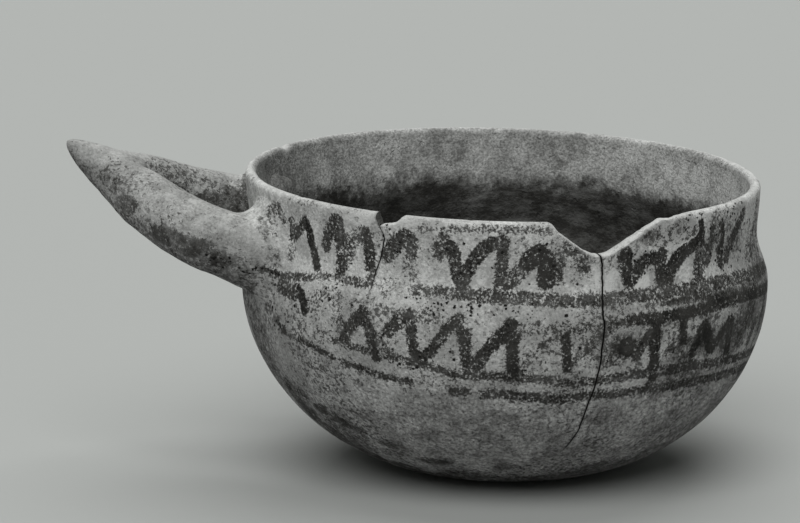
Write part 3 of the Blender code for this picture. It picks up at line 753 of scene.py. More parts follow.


# %% [markdown]
# ## Scars, soil and crumbs
# The surface tells what happened to the pot. A flake has come off beside the break, the round bottom is
# scuffed and stained where it lay in the ground, and dark crusts of soil cling along the middle bands. The
# soil patches low round the bottom, darkest at the lower left, also carry painted shade. These are soft
# patches, each with a place, a size and an amount, and they reach the material as one number per point.
# Inside, dark smudges and dusty places are made the same way, with painted shade on the handle's side and
# painted light on the right.

# %% Patches of wear and soil
# All patches: angle, height, half width and half height in millimetres, and amount. A scar's amount is its
# depth in millimetres.
FLAKE_SCARS = ((-51.0, 84.0, 12.5, 4.2, 0.55), (-104, 89.0, 3.0, 0.9, 0.25), (24, 60, 5.0, 3.0, 0.4),
               (118, 80, 6.0, 3.5, 0.45), (75, 38, 7.0, 4.0, 0.4))
# Soil patches. Those low round the bottom, darkest at the lower left, also carry painted shade.
SOIL_AND_SHADE_PATCHES = (
    (-152, 58, 13, 8, 0.55), (-147.5, 53.5, 3.8, 3, 0.8), (-145, 50.8, 4, 2.8, 0.8),
    (-151, 56, 4.5, 3.5, 0.75), (-160, 46, 18, 18, 0.66), (-164, 60, 12, 5, 0.8),
    (-162, 67, 9, 1.8, 0.95), (-170, 60, 10, 8, 0.75),
    (-160, 36, 12, 10, 0.7), (-138, 18, 18, 10, 0.72), (-124, 16, 14, 7, 0.5), (-46, 56, 16, 16, 0.44),
    (-48, 62, 12, 5, 0.55), (-58, 84, 9, 5, 0.72), (-49, 85.5, 8, 4, 0.6), (-34, 82, 12, 8, 0.6),
    (-158, 86, 12, 8, 0.44), (-140, 33, 12, 8, 0.45), (-147, 29.5, 5, 3.5, 0.8), (-142, 25.8, 6, 3, 0.9),
    (-137, 22.5, 7, 3, 0.9), (-132, 21, 7, 1.8, 0.95), (-124, 17, 8, 1.6, 0.9), (-112, 12, 12, 2.5, 0.8),
    (-153, 29, 8, 7, 0.9), (-153, 23, 10, 8, 0.95), (-148, 15, 11, 7, 0.97), (-142, 9, 12, 5, 0.97),
    (-130, 5.5, 16, 4, 0.97), (-116, 4, 16, 3, 0.92), (-103, 6, 26, 4, 0.7), (-85, 4, 30, 4, 0.75),
    (-60, 8, 30, 6, 0.7), (-35, 16, 18, 8, 0.5), (-15, 30, 16, 16, 0.6), (-97, 22, 9, 5, 0.3),
    (-118, 27, 12, 5, 0.4), (-74, 23, 12, 5, 0.3), (-108, 34, 10, 3, 0.4), (-45, 27, 14, 5, 0.4),
    (-132, 42, 12, 5, 0.4), (-137, 58, 10, 5, 0.4), (-31, 49, 15, 9, 0.84), (-42, 50, 10, 7, 0.78),
    (-50, 63.2, 12, 1.6, 0.8), (-36, 62.5, 14, 2.5, 0.88), (-24, 56, 14, 12, 0.8), (-47, 40, 14, 5, 0.7),
    (-106, 63, 24, 3, 0.46), (-90, 63.5, 22, 2.5, 0.42), (-92, 53, 40, 8, 0.33), (-146, 62, 8, 6, 0.5),
    (-126, 60, 10, 6, 0.4), (-152, 50, 10, 8, 0.6), (-14, 60, 14, 24, 0.76), (-48, 48, 12, 6, 0.7),
    (-64, 52.5, 8, 6, 0.68), (-83, 55, 10, 5, 0.42), (-97, 60.5, 7, 2.0, 0.45), (-28, 78, 12, 9, 0.62),
    (-40, 75, 5, 8, 0.5), (-36, 85, 6, 4, 0.55), (-152, 84, 8, 6, 0.5), (-140, 80, 5, 6, 0.35),
    (-158, 79, 9, 6, 0.66), (-152, 71, 10, 5, 0.62), (178, 55, 26, 14, 0.7), (150, 40, 26, 18, 0.5),
    (110, 22, 34, 12, 0.6), (60, 30, 30, 14, 0.5), (20, 25, 26, 16, 0.6), (45, 70, 16, 10, 0.35),
    (95, 55, 18, 9, 0.35), (130, 75, 12, 9, 0.4))
PALE_PATCHES = (
    (-67.5, 72, 7, 5, 1.0), (-88, 18, 26, 5, 0.6), (-122, 34, 12, 5, 0.5), (-106, 28, 14, 5, 0.45),
    (-105, 75, 3, 4, 0.4), (-94.5, 74, 3, 4, 0.8), (-122, 74, 3, 4, 0.7), (-58.5, 71, 3.5, 3.5, 1.0),
    (-62, 68.8, 12, 1.2, 0.8), (-135, 20, 6, 1.2, 0.9), (-140, 21.5, 4, 1.3, 0.9), (-128, 16, 8, 1.2, 0.9),
    (-122, 88.5, 9, 3, 0.9), (-45, 27, 10, 2, 0.5), (-153, 78, 12, 8, 0.55), (-112, 88.7, 12, 1.6, 0.9),
    (-94, 89.3, 20, 1.4, 0.9), (-112, 65.5, 8, 2, 0.8), (-84, 71, 5, 4, 0.6), (-46, 71, 6, 3, 0.6),
    (-54, 14, 16, 2.2, 0.5), (-112, 31, 18, 6, 0.5), (-93, 27, 26, 7, 0.42), (-77, 23, 14, 5, 0.52),
    (-121, 50.5, 6, 4, 0.5), (-104, 52, 4, 3, 0.6), (-82, 64, 14, 1.6, 0.5), (-129, 79, 4, 4, 0.4))
CRUST_PATCHES = (
    (-115.6, 87.6, 1.2, 1.6, 1.0), (-114.8, 86.0, 1.0, 1.2, 1.0), (-116.6, 86.6, 0.8, 1.2, 0.9),
    (-115.6, 84.4, 1.0, 1.8, 0.7), (-56.5, 85.8, 2.5, 1.6, 0.85), (-50.5, 86.4, 3, 1.2, 0.8),
    (-46.0, 83.2, 2.5, 1.8, 0.85), (-53.0, 83.0, 3, 1.4, 0.6), (-30, 87.2, 6, 2.5, 0.7),
    (-44, 88.4, 6, 1.2, 0.8),
    (-150, 66.5, 6, 2, 0.9), (-155, 69, 5, 1.5, 0.7), (-149.5, 56.5, 2.5, 2.5, 1.0), (-146, 52, 3, 2, 1.0),
    (-140, 61, 3, 3, 0.7), (-131, 63, 4, 3, 0.5), (-105, 66.5, 8, 2.5, 0.5), (-96, 66, 8, 2, 0.45),
    (-108.3, 66.9, 1.5, 1.5, 1.0), (-106.8, 65.6, 1.4, 0.8, 1.0), (-104.4, 65.0, 1.5, 0.9, 1.0),
    (-103.2, 66.2, 1.0, 1.8, 1.0), (-101.2, 66.5, 1.0, 0.8, 1.0), (-99.4, 66.8, 0.8, 1.0, 1.0),
    (-97.8, 65.0, 0.7, 1.2, 0.9), (-94.9, 65.4, 0.8, 1.8, 1.0), (-94.0, 63.6, 1.2, 0.7, 1.0),
    (-90.8, 66.2, 1.3, 1.0, 1.0), (-91.8, 63.0, 1.8, 0.7, 1.0), (-88.0, 63.9, 1.2, 1.2, 1.0),
    (-84.7, 64.2, 1.2, 0.6, 1.0), (-84.9, 62.6, 1.4, 0.7, 0.9), (-76.0, 64.2, 1.4, 0.6, 0.9),
    (-113.0, 81.0, 2.5, 3.0, 0.45), (-104.0, 50.5, 6, 3, 0.3), (-106, 63.5, 5, 1.5, 0.6),
    (-115.5, 54.8, 2.2, 2.2, 0.6), (-97, 65.0, 16, 2.4, 0.3),
    (-126, 54, 6, 5, 0.35), (-112, 46, 6, 2, 0.6), (-88, 45, 12, 2.0, 0.35), (-60, 77, 8, 5, 0.3),
    (-128, 66, 9, 3, 0.3), (-118, 55, 7, 5, 0.3), (-150, 66, 5, 3, 0.7), (-146, 52, 4, 3, 0.6),
    (-26, 90, 10, 2, 0.7), (-48, 88, 6, 1.5, 0.6), (-90, 78, 30, 8, 0.12), (-75, 52, 34, 9, 0.12),
    (60, 60, 40, 10, 0.2), (130, 50, 30, 12, 0.25), (-30, 76, 24, 10, 0.2))
# Dark smudges and dusty places on the inner face. The largest smudged patch, on the handle's side, is partly
# painted shade, and the two large dusty places on the right are painted light.
SMUDGES_AND_SHADE = ((162, 80, 22, 15, 0.9), (103, 86, 10, 6, 0.6), (112, 79, 12, 7, 0.5), (76, 84, 7, 5, 0.5),
           (88, 80, 8, 4, 0.4), (135, 87, 9, 4, 0.5))
DUST_AND_LIGHT = ((12, 82, 26, 16, 0.9), (38, 80, 18, 10, 0.8), (55, 87, 12, 5, 0.5), (122, 84, 10, 6, 0.4))
PATCH_FADE = 1.35                   # reach from a patch's middle at which it has faded out


def reach_from(angle, height, middle, level, half_width, half_height):
    """How far arrays of points lie from a patch's middle, as a share of its size."""
    across = np.radians(half_turn(angle - middle)) * PAINT_SCALE / MM / half_width
    return np.hypot(across, (height - level) / half_height)


def soft_patches(angle, height, patches):
    """Largest amount of any patch at arrays of points, fading smoothly to each patch's edge."""
    amount = np.zeros(angle.shape)
    for *patch, most in patches:
        amount = np.maximum(amount, most * ease(PATCH_FADE - reach_from(angle, height, *patch)))
    return amount


def scar_depth(angle, height):
    """Depth of flaked clay at arrays of points: flat inside a scar, with a short steep edge."""
    depth = np.zeros(angle.shape)
    for *patch, most in FLAKE_SCARS:
        reach = reach_from(angle, height, *patch) + 0.08 * crumble(angle * 0.9 + height, 5.0)
        depth = np.maximum(depth, most * MM * ease((1.0 - reach) * 5.0))
    return depth


# %% [markdown]
# ## The wall and the sherd
# Both pieces are columns of points side by side. A column runs from the middle of the flat, up the outer
# face, over the lip and down the inner face. The main wall goes from the right crack round the back to the
# left crack, and closes under the sherd. Its columns follow the cracks, so the broken faces are true cuts
# through the wall. The same columns, between the cracks, make the sherd.

# %% Columns of points and their sheet
FLAT_ROWS = 5
LOWER_ROWS = 64
UPPER_ROWS = 32
CREST_ROWS = 7
WALL_COLUMNS = 384
SHERD_COLUMNS = 92
SHERD_LIFT = 0.06 * MM              # the sherd's foot stands this far above the ledge
SCAR_CLEARS_PAINT = 14.0            # millimetres added to the paint's distance per millimetre of scar
BROKEN_LOSS = 0.25 * MM             # loss of height from which the lip looks freshly broken
SHARP_EDGE = math.radians(42)

lower_stations = np.arange(LOWER_ROWS) / LOWER_ROWS
foot_row = int(np.argmin(np.abs(lower_stations - CRACK_FOOT)))
lower_stations[foot_row] = CRACK_FOOT
full_stations = np.concatenate([np.arange(FLAT_ROWS) / FLAT_ROWS - 1, lower_stations,
                                1 + np.arange(UPPER_ROWS + 1) / UPPER_ROWS])
foot_row += FLAT_ROWS


def column_points(angle_at, top_angle, stations, on_sherd):
    """Arrays of columns by rows with the numbers that the tree and the material need."""
    loss = rim_loss(top_angle, on_sherd)
    whole = lip_height(top_angle)
    worn = np.minimum(loss / LIP_THICKNESS, 1.0)
    rounding = (0.5 * (1 - worn) + BROKEN_ROUNDING * worn) * LIP_THICKNESS
    drawn = (whole - loss - rounding - BELLY_HEIGHT) / (whole - BELLY_HEIGHT)
    rows = {"turn": [], "along": [], "depth": [], "lift": [], "place": []}

    def add_row(place, along, depth, lift):
        row = {"turn": np.radians(angle_at(place)), "along": along / section_lengths[-1], "depth": depth,
               "lift": lift, "place": place}
        for name, value in row.items():
            rows[name].append(value + 0 * whole)

    def add_station(station, inner):
        if station <= 1:
            place = station + 0 * whole
            height = station_height(place)
            lift = 0.0
        else:
            share = (station - 1) * drawn
            place = 1 + share
            height = BELLY_HEIGHT + share * (RIM_HEIGHT - BELLY_HEIGHT)
            lift = share * (whole - RIM_HEIGHT)
        along = np.interp(height, section_heights, section_lengths)
        if station < 0:
            along = (1 + station) * BASE_RADIUS
        add_row(place, along, thickness(np.maximum(place, 0.0)) if inner else 0.0, lift)
        return place, along, lift

    for station in stations:
        place, along, lift = add_station(station, False)
    for index in range(1, CREST_ROWS + 1):
        share = index / (CREST_ROWS + 1)
        rise = rounding * np.sin(np.pi * share)
        roughness = CRUMBLE * 0.7 * worn * crumble(np.degrees(angle_at(place)) * 1.7 + share * 9, 4.0)
        add_row(place, along, ease(share) * thickness(place), lift + rise + roughness)
    for station in stations[::-1]:
        add_station(station, True)
    return {name: np.stack(values, axis=1) for name, values in rows.items()}, loss


def columns_between(first_crack, last_crack, more, share):
    """Angle of columns at a station, from one crack round to the next."""
    def angle_at(place):
        reach = np.maximum(place, CRACK_FOOT)
        start = crack_angle(first_crack, reach, 1)
        end = crack_angle(last_crack, reach, -1) + more
        return start + (end - start) * share
    return angle_at


def strip_faces(first, second):
    """Quads between two rows of point numbers."""
    return [(a, b, c, d) for a, b, c, d in zip(first, first[1:], second[1:], second)]


def section_faces(loop, rows):
    """Faces of a crack through the wall, from its lowest row to the lip."""
    last = len(loop) - 1
    faces = [(loop[row], loop[row + 1], loop[last - row - 1], loop[last - row]) for row in range(rows - 1)]
    return faces + [tuple(loop[rows - 1:last - rows + 2])]


def looks_of_points(fields):
    """Numbers that the material reads, worked out from each point's angle, height and depth."""
    angle = half_turn(np.degrees(fields["turn"]))
    on_section = np.interp(fields["along"] * section_lengths[-1], section_lengths, section_heights)
    height = (on_section + fields["lift"]) / MM
    outer = fields["depth"] < 0.2 * LIP_THICKNESS
    paint, lasting = paint_fields(angle, height)
    scar = np.where(outer, scar_depth(angle, height), 0.0) / MM
    looks = {"paint": np.where(outer, paint + scar * SCAR_CLEARS_PAINT, NO_PAINT), "lasting": lasting,
             "inside": np.clip(fields["depth"] / (LIP_THICKNESS * 0.9), 0, 1), "scar": scar,
             "crust": soft_patches(angle, height, CRUST_PATCHES) * outer}
    for label, outside, inside in (("soil", SOIL_AND_SHADE_PATCHES, SMUDGES_AND_SHADE), ("pale", PALE_PATCHES, DUST_AND_LIGHT)):
        looks[label] = np.where(outer, soft_patches(angle, height, outside),
                                soft_patches(angle, height, inside))
    return looks


def finish_mesh(piece):
    """Faces outwards, and smooth shading with sharp broken edges."""
    mesh = piece.data
    shape = bmesh.new()
    shape.from_mesh(mesh)
    bmesh.ops.recalc_face_normals(shape, faces=shape.faces)
    if shape.calc_volume(signed=True) < 0:
        bmesh.ops.reverse_faces(shape, faces=shape.faces)
    closed = all(edge.is_manifold for edge in shape.edges)
    shape.to_mesh(mesh)
    shape.free()
    mesh.shade_smooth()
    mesh.set_sharp_from_angle(angle=SHARP_EDGE)
    triangles = sum(len(face.vertices) - 2 for face in mesh.polygons)
    print(f"{piece.name}: {triangles} triangles, {'closed' if closed else 'OPEN'}")
    return piece


def rolled_up(name, fields, faces, clay):
    """Flat sheet with its numbers as attributes, rolled up into a wall by the tree."""
    fields.update(looks_of_points(fields))
    fields["depth"] = fields["depth"] + fields["scar"] * MM
    flat = np.stack([fields["turn"] * NECK_RADIUS, fields["along"] * section_lengths[-1],
                     -fields["depth"]], axis=1)
    mesh = bpy.data.meshes.new(name)
    mesh.from_pydata(flat.tolist(), [], faces)
    for label, values in fields.items():
        mesh.attributes.new(label, "FLOAT", "POINT").data.foreach_set("value", values.astype(np.float32))
    piece = in_scene(name, mesh)
    apply_tree(piece, wall_tree, {"Section": section, "Clay": clay})
    for label in ("turn", "along", "depth", "lift", "place"):
        piece.data.attributes.remove(piece.data.attributes[label])
    return finish_mesh(piece)


def broken_lip(fields, loss):
    """True for the points of the crest where the lip is broken away."""
    top = fields["place"].max(axis=1)[:, None]
    return (loss > BROKEN_LOSS)[:, None] & (fields["place"] >= top - 1e-6)


def tightness(crack, place):
    """Millimetres added to the distance from a crack where it is too tight to look dark."""
    return TIGHT_AWAY * (1 - ease(read_pairs(OPENINGS[crack], place) / DARK_OPENING))


def crack_distance(fields, first_crack, last_crack):
    """Distance in millimetres of each point from the nearer crack face, more where the crack is tight."""
    width = np.abs(np.diff(fields["turn"], axis=0)) * PAINT_SCALE / MM
    from_start = np.concatenate([np.zeros((1, width.shape[1])), np.cumsum(width, axis=0)])
    from_end = from_start[-1] - from_start
    distance = np.minimum(from_start + tightness(first_crack, fields["place"]),
                          from_end + tightness(last_crack, fields["place"]))
    distance += NOTCH_OPEN * ease((fields["place"] - NOTCH_START) / NOTCH_REACH)
    return np.where(fields["place"] < CRACK_FOOT, FAR_FROM_CRACK, np.minimum(distance, FAR_FROM_CRACK))


# %% [markdown]
# The main wall needs one more thing. Below the foot of the cracks the ring of columns has to close across
# the front, so a few hundred short columns bridge it there, with a ledge on which the sherd stands.

# %% Build the main wall
def make_main_wall(clay):
    """The bowl, all but its front sherd."""
    share = np.linspace(0, 1, WALL_COLUMNS + 1)
    angle_at = columns_between(RIGHT_CRACK, LEFT_CRACK, 360, share)
    grid, loss = column_points(angle_at, angle_at(LIP_STATION + 0 * share), full_stations, False)
    length = grid["turn"].shape[1]
    numbers = np.arange((WALL_COLUMNS + 1) * length).reshape(WALL_COLUMNS + 1, length)
    start = crack_angle(LEFT_CRACK, CRACK_FOOT, -1)
    end = crack_angle(RIGHT_CRACK, CRACK_FOOT, 1)
    bridge_angles = start + (end - start) * np.linspace(0, 1, SHERD_COLUMNS + 1)[1:-1] + 360
    bridge = column_points(lambda place: bridge_angles, bridge_angles, full_stations, False)[0]
    kept = np.r_[0:foot_row + 1, length - foot_row - 1:length]
    bridge = {name: values[:, kept] for name, values in bridge.items()}
    bridge_numbers = numbers.size + np.arange(bridge["turn"].size).reshape(-1, len(kept))
    low_ring = [numbers[-1][kept]] + list(bridge_numbers) + [numbers[0][kept]]
    faces = []
    for ring in (numbers, low_ring):
        for first, second in zip(ring, ring[1:]):
            faces += strip_faces(first.tolist(), second.tolist())
    for loop in (numbers[0], numbers[-1]):
        faces += section_faces(loop[foot_row:length - foot_row].tolist(), len(full_stations) - foot_row)
    grid["crack"] = crack_distance(grid, RIGHT_CRACK, LEFT_CRACK)
    grid["worn"] = broken_lip(grid, loss).astype(float)
    bridge["crack"] = np.full(bridge["turn"].shape, FAR_FROM_CRACK)
    bridge["worn"] = np.zeros(bridge["turn"].shape)
    fields = {name: np.concatenate([grid[name].ravel(), bridge[name].ravel()]) for name in grid}
    return rolled_up("wall_painted", fields, faces, clay)


def make_sherd(clay):
    """The sherd between the two cracks."""
    share = np.linspace(0, 1, SHERD_COLUMNS + 1)
    angle_at = columns_between(LEFT_CRACK, RIGHT_CRACK, 0, share)
    stations = full_stations[foot_row:].copy()
    stations[0] += SHERD_LIFT / (0.5 * np.pi * BELLY_HEIGHT)
    grid, loss = column_points(angle_at, angle_at(LIP_STATION + 0 * share), stations, True)
    length = grid["turn"].shape[1]
    numbers = np.arange((SHERD_COLUMNS + 1) * length).reshape(SHERD_COLUMNS + 1, length)
    faces = []
    for first, second in zip(numbers.tolist(), numbers.tolist()[1:]):
        faces += strip_faces(first + first[:1], second + second[:1])
    for loop in (numbers[0], numbers[-1]):
        faces += section_faces(loop.tolist(), len(stations))
    grid["crack"] = crack_distance(grid, LEFT_CRACK, RIGHT_CRACK)
    grid["worn"] = broken_lip(grid, loss).astype(float)
    return rolled_up("sherd_painted", {name: values.ravel() for name, values in grid.items()}, faces, clay)


# %% [markdown]
# ## Effects that several finishes share
# Fired clay that lay in the ground shows the same few effects everywhere: soft mottling, grain, pits, specks,
# soil in blotches, and paint that has flaked. Each is a shader node group with named inputs, built once,
# and every finish places it with its own numbers. The groups put out masks and values only. The shader
# itself stays in the material.

# %% Shader groups for clay, specks, soil and worn paint
def noise(tree, vector, scale, detail=3.0, roughness=0.6):
    """Value of a noise texture."""
    made = put(tree, "ShaderNodeTexNoise", {"Vector": vector, "Scale": scale, "Detail": detail,
                                            "Roughness": roughness})
    return Value(tree, made.outputs[0])


def specks_group():
    """Scattered small spots of irregular outline."""
    tree, given, result = new_group("Specks", "ShaderNodeTree",
                                    {"Vector": "Vector", "Per metre": 500.0, "Share": 0.3, "Size": 0.35},
                                    {"Mask": "Float"})
    scale = given["Per metre"]
    waver = put(tree, "ShaderNodeTexNoise", {"Vector": given["Vector"], "Scale": scale * 1.7, "Detail": 1.0})
    sway = vector_maths(tree, "SUBTRACT", waver.outputs[1], (0.5, 0.5, 0.5))
    place = vector_maths(tree, "ADD", given["Vector"], vector_maths(tree, "SCALE", sway, 0.9 / scale))
    cells = put(tree, "ShaderNodeTexVoronoi", {"Vector": place, "Scale": scale}).outputs
    chance = put(tree, "ShaderNodeSeparateColor", {"Color": cells["Color"]}).outputs
    chosen = maths(tree, "LESS_THAN", chance[0], given["Share"])
    size = given["Size"] * (Value(tree, chance[1]) * 0.9 + 0.4)
    give(tree, result["Mask"], (Value(tree, cells["Distance"]) / size).ramp(1.0, 0.55) * chosen)
    return tree


def clay_grain_group(specks):
    """Mottling, grain and pits of hand-smoothed clay, with the height that they give."""
    tree, given, result = new_group(
        "Clay grain", "ShaderNodeTree",
        {"Vector": "Vector", "Mottles per metre": 110.0, "Grains per metre": 1300.0,
         "Pits per metre": 420.0, "Pit share": 0.3},
        {"Mottle": "Float", "Grain": "Float", "Pits": "Float", "Height": "Float"})
    vector = given["Vector"]
    mottle = noise(tree, vector, given["Mottles per metre"], 5.0, 0.65).ramp(0.33, 0.67)
    grain = noise(tree, vector, given["Grains per metre"], 2.0).ramp(0.28, 0.72)
    spots = put(tree, "ShaderNodeGroup", node_tree=specks)
    for label, value in (("Vector", vector), ("Per metre", given["Pits per metre"]),
                         ("Share", given["Pit share"]), ("Size", 0.32)):
        give(tree, spots.inputs[label], value)
    pits = Value(tree, spots.outputs["Mask"])
    height = grain * 0.45 + mottle * 0.8 - pits
    for label, value in (("Mottle", mottle), ("Grain", grain), ("Pits", pits), ("Height", height)):
        give(tree, result[label], value)
    return tree


def blotches_group():
    """Blotches with soft torn edges, which spread as their amount grows."""
    tree, given, result = new_group(
        "Soil stain", "ShaderNodeTree",
        {"Vector": "Vector", "Amount": 0.5, "Blotches per metre": 260.0, "Softness": 0.12},
        {"Cover": "Float"})
    level = noise(tree, given["Vector"], given["Blotches per metre"], 8.0, 0.76)
    edge = given["Amount"] * -0.42 + 0.73
    present = given["Amount"].ramp(0.0, 0.12)
    give(tree, result["Cover"], level.ramp(edge, edge + given["Softness"]) * present)
    return tree


def worn_paint_group():
    """Cover of brushed paint from the distance to a stroke's edge, ragged and flaked by age."""
    tree, given, result = new_group(
        "Worn paint", "ShaderNodeTree",
        {"Vector": "Vector", "Edge distance": 6.0, "Lasting": 0.7, "Raggedness": 0.8}, {"Cover": "Float"})
    vector, lasting = given["Vector"], given["Lasting"]
    torn = noise(tree, vector, 300.0, 9.0, 0.78)
    fine = noise(tree, vector, 1300.0, 5.0, 0.7)
    reach = given["Raggedness"] * lasting.ramp(0.95, 0.7, 4.0, 8.0)
    edge = (fine * 0.9 + torn * 0.6 - 0.75) * reach + given["Edge distance"]
    flaking = fine * 0.5 + noise(tree, vector, 480.0, 8.0, 0.8) * 0.5
    kept = (flaking - (lasting * 0.24 + 0.352)).ramp(0.03, -0.035)
    thickness_left = maths(tree, "MINIMUM", lasting * 0.4 - fine * 0.5 + 0.85, 1.0)
    give(tree, result["Cover"], edge.ramp(0.35, -0.35) * kept * thickness_left)
    return tree


specks_tree = specks_group()
grain_tree = clay_grain_group(specks_tree)
blotch_tree = blotches_group()
paint_tree = worn_paint_group()
print("shader groups:", ", ".join(tree.name for tree in (specks_tree, grain_tree, blotch_tree, paint_tree)))

# %% [markdown]
# ## The clay's finish
# The photograph is black and white, so every finish is a neutral grey of the right depth. The outer face is
# a pale slip: a thin coat of fine clay, mottled and speckled, rubbed thin on the round bottom. Over it lies
# the dark paint, then the soil, which also carries painted shade low round the bottom and on the handle. The
# inner face is bare grey clay, nearly black below a wavering line, partly stained and partly painted shade,
# with smudges and dusty places above it, some of them painted shade on the handle's side and painted light
# on the right. One function writes the outer finish for the wall and for the handle, so that they match where
# they meet.

# %% Helpers for finishes
# Greys, from 0 for black to 1 for white
THIN_SLIP = 0.43
FULL_SLIP = 0.66
BARE_SLIP = 0.76
GRIME = 0.17
SPECK = 0.05
PIT = 0.2
FLAKED_CLAY = 0.56
FLAKED_SPECK = 0.04
PAINT_GREYS = (0.014, 0.045)
THIN_PAINT = 0.13
SOIL_GREYS = (0.013, 0.066)
HARD_SOIL = 0.014
INNER_CLAY_GREYS = (0.31, 0.52)
INNER_DUST = 0.62
INNER_SMUDGE = 0.13
# Greys low on the inner face, partly stained and partly painted shade
LOW_STAIN_AND_SHADE_GREYS = (0.045, 0.19)
CHALKY_EDGE = 0.58
FRESH_BREAK = 0.62
DIRTY_CRACK = 0.06
# near black painted on the faces of an open crack, as shade
OPEN_CRACK_SHADE = 0.008
CRUMB_GREYS = (0.008, 0.035)
WAD_SHADE = 0.52                    # grey of the wads, as a share of the inner face's, darker as painted shade
RUBBED_BOTTOM = (50 * MM, 28 * MM)  # heights between which the rubbed bottom sets in
NECK = (64 * MM, 71 * MM)           # heights between which the cleaner neck sets in
# Heights between which the inner face turns dark, partly stained and partly painted shade
LOW_STAIN_AND_SHADE_EDGE = (79.5 * MM, 72.0 * MM)
BLACK = (0.0, 0.0, 0.0, 1.0)
COOL_WHITE = (0.985, 1.0, 0.975, 1.0)
WARM_GREY_AT = 0.05
WARM_GREY = (0.051, 0.0505, 0.0465, 1.0)
SPECULAR = 0.12
PAINT_ROUGHNESS = 0.80
CLAY_ROUGHNESS = 0.92
GRAIN_DEPTH = 0.22 * MM


class Finish:
    """A material while it is being written: its tree, its shader and its place on the piece."""

    def __init__(self, name, specular=SPECULAR):
        self.material = bpy.data.materials.new(name)
        self.material.use_nodes = True
        self.tree = self.material.node_tree
        self.shader = self.tree.nodes["Principled BSDF"].inputs
        self.shader["Specular IOR Level"].default_value = specular
        self.place = put(self.tree, "ShaderNodeTexCoord").outputs["Object"]
        self.height = Value(self.tree, put(self.tree, "ShaderNodeSeparateXYZ", {0: self.place}).outputs["Z"])

    def effect(self, group, **inputs):
        """Values from a shader group. An underscore in an input's name stands for a space."""
        made = put(self.tree, "ShaderNodeGroup", node_tree=group)
        for name, value in dict(inputs, Vector=self.place).items():
            give(self.tree, made.inputs[name.replace("_", " ")], value)
        return {socket.name: Value(self.tree, socket) for socket in made.outputs}

    def blotches(self, amount, per_metre, softness):
        """Cover of torn blotches of one size."""
        made = self.effect(blotch_tree, Amount=amount, Blotches_per_metre=per_metre, Softness=softness)
        return made["Cover"]

    def clouds(self, per_metre, detail, roughness, *steps):
        """Soft clouds of one size, as a smooth step over a noise."""
        return noise(self.tree, self.place, per_metre, detail, roughness).ramp(*steps)

    def carried(self, name):
        """A number that the mesh carries for each point."""
        made = put(self.tree, "ShaderNodeAttribute", attribute_name=name)
        return Value(self.tree, made.outputs["Fac"])

    def blend(self, first, second, share):
        """Mix of two greys."""
        made = put(self.tree, "ShaderNodeMix", {0: share, 2: first, 3: second}, data_type="FLOAT")
        return Value(self.tree, made.outputs[0])

    def paint(self, grey, roughness, bump_height, bump_distance=GRAIN_DEPTH):
        """Sets the colour from a grey, slightly cool in the lights and warm in the darks."""
        tint = put(self.tree, "ShaderNodeValToRGB", {0: grey})
        low, high = tint.color_ramp.elements
        low.color = BLACK
        high.color = COOL_WHITE
        tint.color_ramp.elements.new(WARM_GREY_AT).color = WARM_GREY
        bump = put(self.tree, "ShaderNodeBump", {"Height": bump_height, "Distance": bump_distance,
                                                 "Strength": 1.0})
        for name, value in (("Base Color", tint.outputs[0]), ("Roughness", roughness),
                            ("Normal", bump.outputs["Normal"])):
            give(self.tree, self.shader[name], value)


# %% The painted outer face
def outer_slip(finish, scar):
    """Grey of the painted and soiled outer face, with painted shade, the paint's cover on it, and the clay's
    grain.
    """
    pale, away, lasting = finish.carried("pale"), finish.carried("away"), finish.carried("lasting")
    soil = maths(finish.tree, "MINIMUM", finish.carried("soil"), 0.8)
    grain = finish.effect(grain_tree, Mottles_per_metre=110.0)
    low = finish.height.ramp(*RUBBED_BOTTOM, 0.1, 0.72)
    high = finish.height.ramp(*NECK)
    slip = finish.blend(THIN_SLIP, FULL_SLIP, finish.clouds(75.0, 7.0, 0.72, 0.40, 0.60))
    # Away from the wall the handle's slip is darker and grimier: partly grime, partly painted shade.
    slip = slip * (away * -0.35 + 1.0) * (grain["Grain"] * 0.30 + 0.85) * (high * 0.22 + 0.89)
    speckle = noise(finish.tree, finish.place, 1000.0, 4.0, 0.7) - 0.5
    slip = slip * (speckle * (low * 4.2 + 0.8) + 1.0)
    slip = finish.blend(slip, slip * 0.5, finish.blotches(low, 120.0, 0.2)) * (low * -0.10 + 1.0)
    slip = finish.blend(slip, away * -0.20 + BARE_SLIP, finish.blotches(pale, 200.0, 0.2) * 0.85)
    dirt = finish.clouds(34.0, 4.0, 0.65, 0.38, 0.62, 0.28, 0.52)
    dirt = dirt - low * 0.10 - pale * 0.26 - high * 0.07 + away * 0.09
    slip = finish.blend(slip, GRIME, finish.blotches(dirt - 0.07, 260.0, 0.09) * 0.75)
    slip = finish.blend(slip, SPECK, finish.blotches(dirt + 0.06, 700.0, 0.04) * 0.85)
    slip = finish.blend(slip, PIT, grain["Pits"] * 0.4)
    flaked = finish.blend(FLAKED_CLAY, FLAKED_SPECK, finish.blotches(0.50, 470.0, 0.03))
    slip = finish.blend(slip, flaked, scar * 0.9)
    paint = finish.effect(paint_tree, Edge_distance=finish.carried("paint"), Lasting=lasting)["Cover"]
    thin = finish.clouds(170.0, 7.0, 0.75, 0.44, 0.66) * lasting.ramp(0.98, 0.74, 0.2, 1.0)
    brushed = finish.blend(finish.blend(*PAINT_GREYS, grain["Mottle"]), THIN_PAINT, thin)
    # The soil's blotches carry real soil and also painted shade, low round the bottom and on the handle.
    stain_and_shade = finish.blotches(soil, 820.0, 0.06) * 0.6 + finish.blotches(soil, 210.0, 0.16) * 0.35
    outside = finish.blend(finish.blend(slip, brushed, paint), finish.blend(*SOIL_GREYS, grain["Mottle"]),
                           stain_and_shade * 0.95)
    crusted = finish.carried("crust") * (finish.clouds(190.0, 2.0, 0.6, 0.45, 0.56) * 0.55 + 0.45)
    crust = finish.effect(specks_tree, Per_metre=1000.0, Share=crusted, Size=0.62)["Mask"]
    return finish.blend(outside, HARD_SOIL, crust), paint, grain


